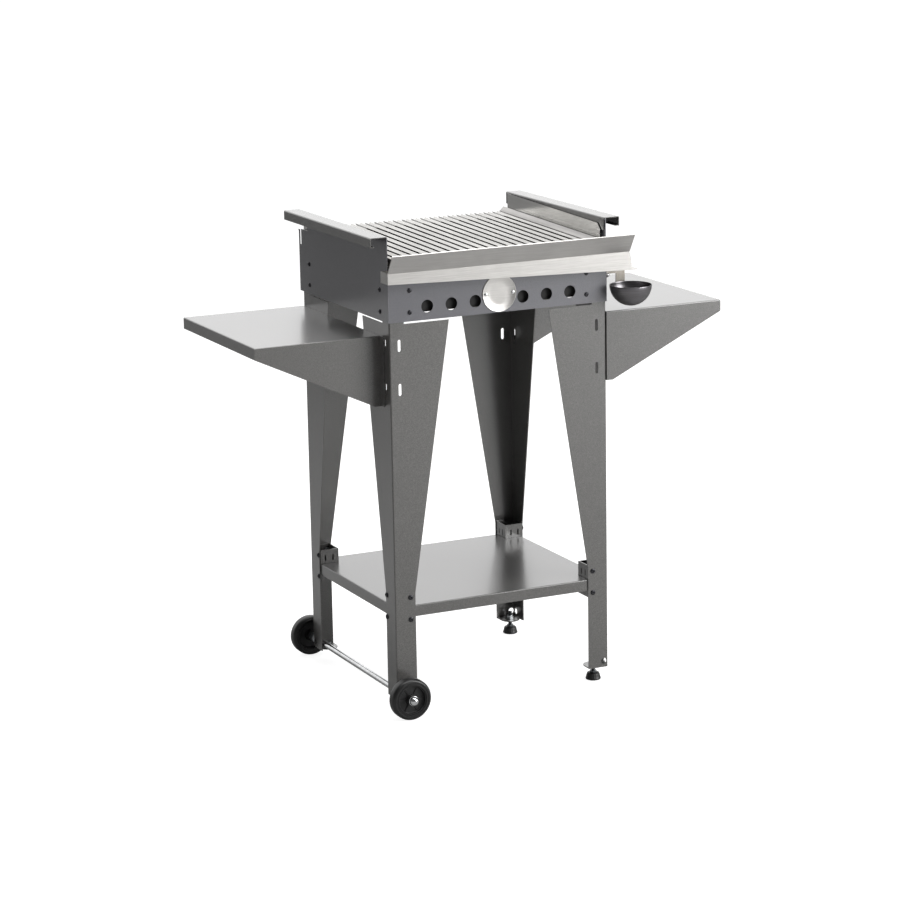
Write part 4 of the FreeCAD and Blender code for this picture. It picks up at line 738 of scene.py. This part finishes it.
def wheel_axis(end):
    """At the tyre's middle, with local Z pointing out of the grill."""
    low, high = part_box("tyre_" + end)
    return pointing((low + high) / 2, (0, 1 if end == "rear" else -1, 0))


def tyre(end):
    low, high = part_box("tyre_" + end)
    radius, half = (high.z - low.z) / 2, (high.y - low.y) / 2
    scale = radius / (40 * MM)
    inside, outside = [[(r * MM * scale, side * (half + d * MM)) for r, d in TYRE_WALL]
                       for side in (-1, 1)]
    tread = [(radius - CROWN, -half * 0.55), (radius, -half * 0.2), (radius, half * 0.2),
             (radius - CROWN, half * 0.55)]
    bm = bmesh.new()
    skin(bm, [(circle(r), y) for r, y in inside + tread + outside[::-1]], wheel_axis(end),
         steps=128, closed=True)
    finish_piece("tyre_" + end, bm, tyre_rubber, end + "_wheel", smooth=40)
    return round(radius * 2000), round(half * 2000)


print("tyre wall:", len(TYRE_WALL), "rings a side")

# %% Hubs
SEAT, RIM, BOSS, BORE = 29 * MM, 26.5 * MM, 10.2 * MM, 6.08 * MM    # radii
WEB = (0.5 * MM, 4.0 * MM)    # inner and outer face
LIP, FILLET = 0.6 * MM, 1.5 * MM
SPOKES, SPOKE_HALF, SPOKE_DROP = 6, 1.2 * MM, 5.4 * MM
ROOT = 1 * MM    # how far a rib reaches into the web, boss and rim


def hub(end):
    low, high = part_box("hub_" + end)
    deep, axis = (high.y - low.y) / 2, wheel_axis(end)
    profile = [(SEAT, -deep + LIP), (SEAT - LIP, -deep), (RIM + LIP, -deep), (RIM, -deep + LIP),
               (RIM, WEB[0] - FILLET), (RIM - FILLET, WEB[0]), (BOSS + FILLET, WEB[0]),
               (BOSS, WEB[0] - FILLET), (BOSS, -deep + LIP), (BOSS - LIP, -deep),
               (BORE + LIP, -deep), (BORE, -deep + LIP), (BORE, deep - LIP), (BORE + LIP, deep),
               (BOSS - LIP, deep), (BOSS, deep - LIP), (BOSS, WEB[1] + FILLET),
               (BOSS + FILLET, WEB[1]), (RIM - FILLET, WEB[1]), (RIM, WEB[1] + FILLET),
               (RIM, deep - LIP), (RIM + LIP, deep), (SEAT - LIP, deep), (SEAT, deep - LIP)]
    bm = bmesh.new()
    skin(bm, [(circle(r), y) for r, y in profile], axis, steps=128, closed=True)
    foot, top = WEB[1] - ROOT, deep - SPOKE_DROP
    rib = ((BOSS - ROOT, foot), (RIM + ROOT, foot), (RIM + ROOT, top), (BOSS - ROOT, top))
    for i in range(SPOKES):
        spin = axis @ Matrix.Rotation(2 * math.pi * i / SPOKES, 4, "Z")
        v = [bm.verts.new(spin @ Vector((x, y, z))) for x, z in rib
             for y in (-SPOKE_HALF, SPOKE_HALF)]
        for face in ((0, 2, 3, 1), (2, 4, 5, 3), (4, 6, 7, 5), (6, 0, 1, 7), (0, 6, 4, 2),
                     (1, 3, 5, 7)):
            bm.faces.new([v[k] for k in face])
    finish_piece("hub_" + end, bm, hub_plastic, end + "_wheel", smooth=40)


for end in ("front", "rear"):
    print(end, "wheel: diameter and width in mm", tyre(end))
    hub(end)

# %% [markdown]
# ## Axle caps and spacers
# A domed cap is pressed on each end of the axle and hides its cut face. Between leg and wheel
# sits a zinc-plated bush. Both are turned pieces with small edge radii.

# %% Axle caps
CAP_SHOULDER = 4.5 * MM    # the straight part below the dome
axle_low, axle_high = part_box("axle")
axle_radius = (axle_high.z - axle_low.z) / 2
axle_centre = (axle_low + axle_high) / 2
bm = bmesh.new()
for low, high in solids_of("axle_caps"):
    outward = 1 if (low.y + high.y) > 0 else -1
    length, radius = high.y - low.y, (high.z - low.z) / 2
    base = Vector((axle_centre.x, low.y if outward > 0 else high.y, axle_centre.z))
    rings = [(circle(axle_radius), 0.0), (circle(radius * 0.96), 0.0),
             (circle(radius), 0.4 * MM), (circle(radius), 3.8 * MM),
             (circle(radius * 0.97), 4.4 * MM), (circle(radius * 0.90), CAP_SHOULDER)]
    rings += dome(radius * 0.90, CAP_SHOULDER, length - CAP_SHOULDER - 0.1 * MM, 12, 12.5)
    skin(bm, rings, pointing(base, (0, outward, 0)), steps=72)
finish_piece("axle_caps", bm, chrome_plate, "stand", smooth=30)
print("axle", round(axle_radius * 2000), "mm")

# %% Wheel spacers
bm = bmesh.new()
for low, high in solids_of("wheel_spacers"):
    outer, length = (high.z - low.z) / 2, high.y - low.y
    base = Vector((axle_centre.x, low.y, axle_centre.z))
    edge = 0.5 * MM
    rings = [(circle(axle_radius + edge), 0), (circle(outer - edge), 0), (circle(outer), edge),
             (circle(outer), length - edge), (circle(outer - edge), length),
             (circle(axle_radius + edge), length), (circle(axle_radius), length - edge),
             (circle(axle_radius), edge)]
    skin(bm, rings, pointing(base, (0, 1, 0)), steps=64, closed=True)
finish_piece("wheel_spacers", bm, zinc_plate, "stand", smooth=50)
print("bush", round(outer * 2000, 1), "mm across")

# %% [markdown]
# ## Drip bowl
# The bowl is spun from thin stainless sheet, and its rim is dressed round so that it isn't
# sharp. The shell is one stack of rings: up the outside from the pole, over the rim, and down
# the inside. A subdivided sphere cut in half would need its rim and thickness added.

# %% Drip bowl
BOWL_RINGS = 33
POLE = 0.2 * MM    # radius of the smallest ring


def hanging_round(radius, shares):
    """Rings of a hemisphere below z = 0; a share of 0 is the rim and 1 the pole."""
    turns = [math.radians(90 * share) for share in shares]
    return [(circle(max(radius * math.cos(t), POLE)), -radius * math.sin(t)) for t in turns]


low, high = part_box("drip_bowl")
bowl_radius = (high.x - low.x) / 2
bowl_centre = Vector(((low.x + high.x) / 2, (low.y + high.y) / 2, high.z))
wall = 1.0 * MM
rings = hanging_round(bowl_radius, [1 - i / BOWL_RINGS for i in range(BOWL_RINGS)])
rings += [(circle(bowl_radius), -0.4 * MM), (circle(bowl_radius - wall * 0.2), -0.1 * MM),
          (circle(bowl_radius - wall * 0.5), 0.0), (circle(bowl_radius - wall * 0.8), -0.1 * MM)]
rings += hanging_round(bowl_radius - wall, [(i + 0.3) / BOWL_RINGS for i in range(BOWL_RINGS)])
bm = bmesh.new()
skin(bm, rings, Matrix.Translation(bowl_centre), steps=128)
finish_piece("drip_bowl", bm, spun_steel, "drip_cup", smooth=40)
print("bowl", round(bowl_radius * 2000), "mm across")

# %% [markdown]
# ## Bowl stud
# The hanger hooks over a stud with a washer-like collar and an acorn nut. The nut is a hexagon
# that turns into a dome, which the ring stack gives in one go.

# %% Stud with acorn nut
low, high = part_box("bowl_stud")
stud_centre = (low + high) / 2
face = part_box("side_panel_right")[1].x
start = face + 2.6 * MM       # where the collar begins
nut_top = start + 5.2 * MM    # where the hexagon ends and the dome begins
bm = bmesh.new()
rings = thread_rings(M6, 1.0 * MM, low.x, face)
rings += [(circle(M6), face), (circle(M6), start), (circle(M6 * 1.95), start),
          (circle(M6 * 2.0), start + 0.3 * MM), (circle(M6 * 2.0), start + 1.2 * MM),
          (circle(M6 * 1.5), start + 1.3 * MM), (hexagon(M6 * 1.55), start + 1.5 * MM),
          (hexagon(M6 * 1.6), start + 2.0 * MM), (hexagon(M6 * 1.6), start + 4.6 * MM),
          (circle(M6 * 1.5), nut_top)]
rings += dome(M6 * 1.5, nut_top, high.x - nut_top, 9, 9.4)
skin(bm, rings, pointing((0, stud_centre.y, stud_centre.z), (1, 0, 0)), steps=60)
hex_nut(bm, Vector((low.x + 0.5 * MM, stud_centre.y, stud_centre.z)), (1, 0, 0), M6 * 1.6,
        2.4 * MM, M6)
finish_piece("bowl_stud", bm, chrome_plate, "stand", smooth=28)
print("stud at y", round(stud_centre.y, 4), "z", round(stud_centre.z, 4))

# %% [markdown]
# ## Badge
# A plain brushed disc closes the middle of the front panel's row of air holes. It is blank: a
# slightly raised rim and two dome-headed rivets are all it has.

# %% Blank badge
low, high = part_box("badge")
badge_centre = (low + high) / 2
badge_radius, badge_thick = (high.x - low.x) / 2, high.y - low.y
bm = bmesh.new()
field = badge_thick - 0.3 * MM    # the face inside the raised rim
rings = [(circle(badge_radius * 0.985), 0.0), (circle(badge_radius), 0.2 * MM),
         (circle(badge_radius), badge_thick - 0.4 * MM),
         (circle(badge_radius * 0.985), badge_thick), (circle(badge_radius * 0.95), badge_thick),
         (circle(badge_radius * 0.935), field), (circle(badge_radius * 0.5), field)]
skin(bm, rings, pointing(Vector((badge_centre.x, high.y, badge_centre.z)), (0, -1, 0)), steps=128)
finish_piece("badge", bm, brushed_across, "stand", smooth=30)
print("badge", round(badge_radius * 2000), "mm")

# %% Rivets
RIVET, RIVET_RISE = 2 * MM, 1.0 * MM    # shank radius and height of the head
bm = bmesh.new()
rivets = solids_of("badge_rivets")
for low, high in rivets:
    middle, head = (low + high) / 2, (high.x - low.x) / 2
    grip = high.y - low.y - RIVET_RISE
    rings = [(circle(RIVET), 0.0), (circle(RIVET), grip), (circle(head), grip)]
    rings += dome(head, grip, RIVET_RISE, 8, 8.4)
    skin(bm, rings, pointing(Vector((middle.x, high.y, middle.z)), (0, -1, 0)), steps=36)
finish_piece("badge_rivets", bm, chrome_plate, "stand", smooth=30)
print(len(rivets), "rivets")

# %% [markdown]
# ## V bars
# Each bar is a strip of stainless folded into a V. The fold has a real bend radius, and the two
# upper edges are dressed so that they don't cut. The bars fall towards the gutter: a bar is one
# section at both ends, higher at the rear by a slope read from the engineering model's boxes.

# %% V section
bars = solids_of("grate_bars")
bar_low, bar_high = bars[0]
bar_width = bar_high.x - bar_low.x
bar_run = bar_high.y - bar_low.y
bar_depth, sheet, fold = 9.0 * MM, 1.2 * MM, 1.8 * MM
slope = (bar_high.z - bar_low.z - bar_depth) / bar_run


def vee_profile(width, depth, thick, fold, steps=5):
    """A V section, x across and z down from 0, as a closed loop with a rounded fold."""
    half = width / 2
    lean = math.atan2(half, depth)
    across = thick / math.cos(lean)
    outer = [(-half, 0.0)]
    for i in range(-steps, steps + 1):
        turn = (math.pi / 2 - lean) * i / steps
        outer.append((fold * math.sin(turn), -depth + fold * (1 - math.cos(turn))))
    outer.append((half, 0.0))
    inner_fold = fold * 0.5
    inner = [(half - across, 0.0)]
    for i in range(steps, -steps - 1, -1):
        turn = (math.pi / 2 - lean) * i / steps
        inner.append((inner_fold * math.sin(turn),
                      -depth + across * 0.95 + inner_fold * (1 - math.cos(turn))))
    inner.append((-half + across, 0.0))
    return outer + inner


section = vee_profile(bar_width, bar_depth, sheet, fold)
print(len(section), "points round the section")

# %% V bars
END_GAP = 0.2 * MM    # keeps the bars' ends off the strips that hold them
front_top = bar_high.z - slope * bar_run
bm = bmesh.new()
for bar_low, bar_high in bars:
    x = (bar_low.x + bar_high.x) / 2
    ends = []
    for y in (bar_low.y + END_GAP, bar_high.y - END_GAP):
        z = front_top + slope * (y - bar_low.y)
        ends.append([bm.verts.new((x + dx, y, z + dz)) for dx, dz in section])
    count = len(section)
    for i in range(count):
        j = (i + 1) % count
        bm.faces.new((ends[0][i], ends[0][j], ends[1][j], ends[1][i]))
    for loop in ends:
        for i in range(count // 2 - 1):
            bm.faces.new((loop[i], loop[i + 1], loop[count - 2 - i], loop[count - 1 - i]))
finish_piece("grate_bars", bm, brushed_deep, "cooking_grate", smooth=25,
             bevel=0.25 * MM)
print(len(bars), "bars, slope in degrees", round(math.degrees(math.atan(slope)), 2))
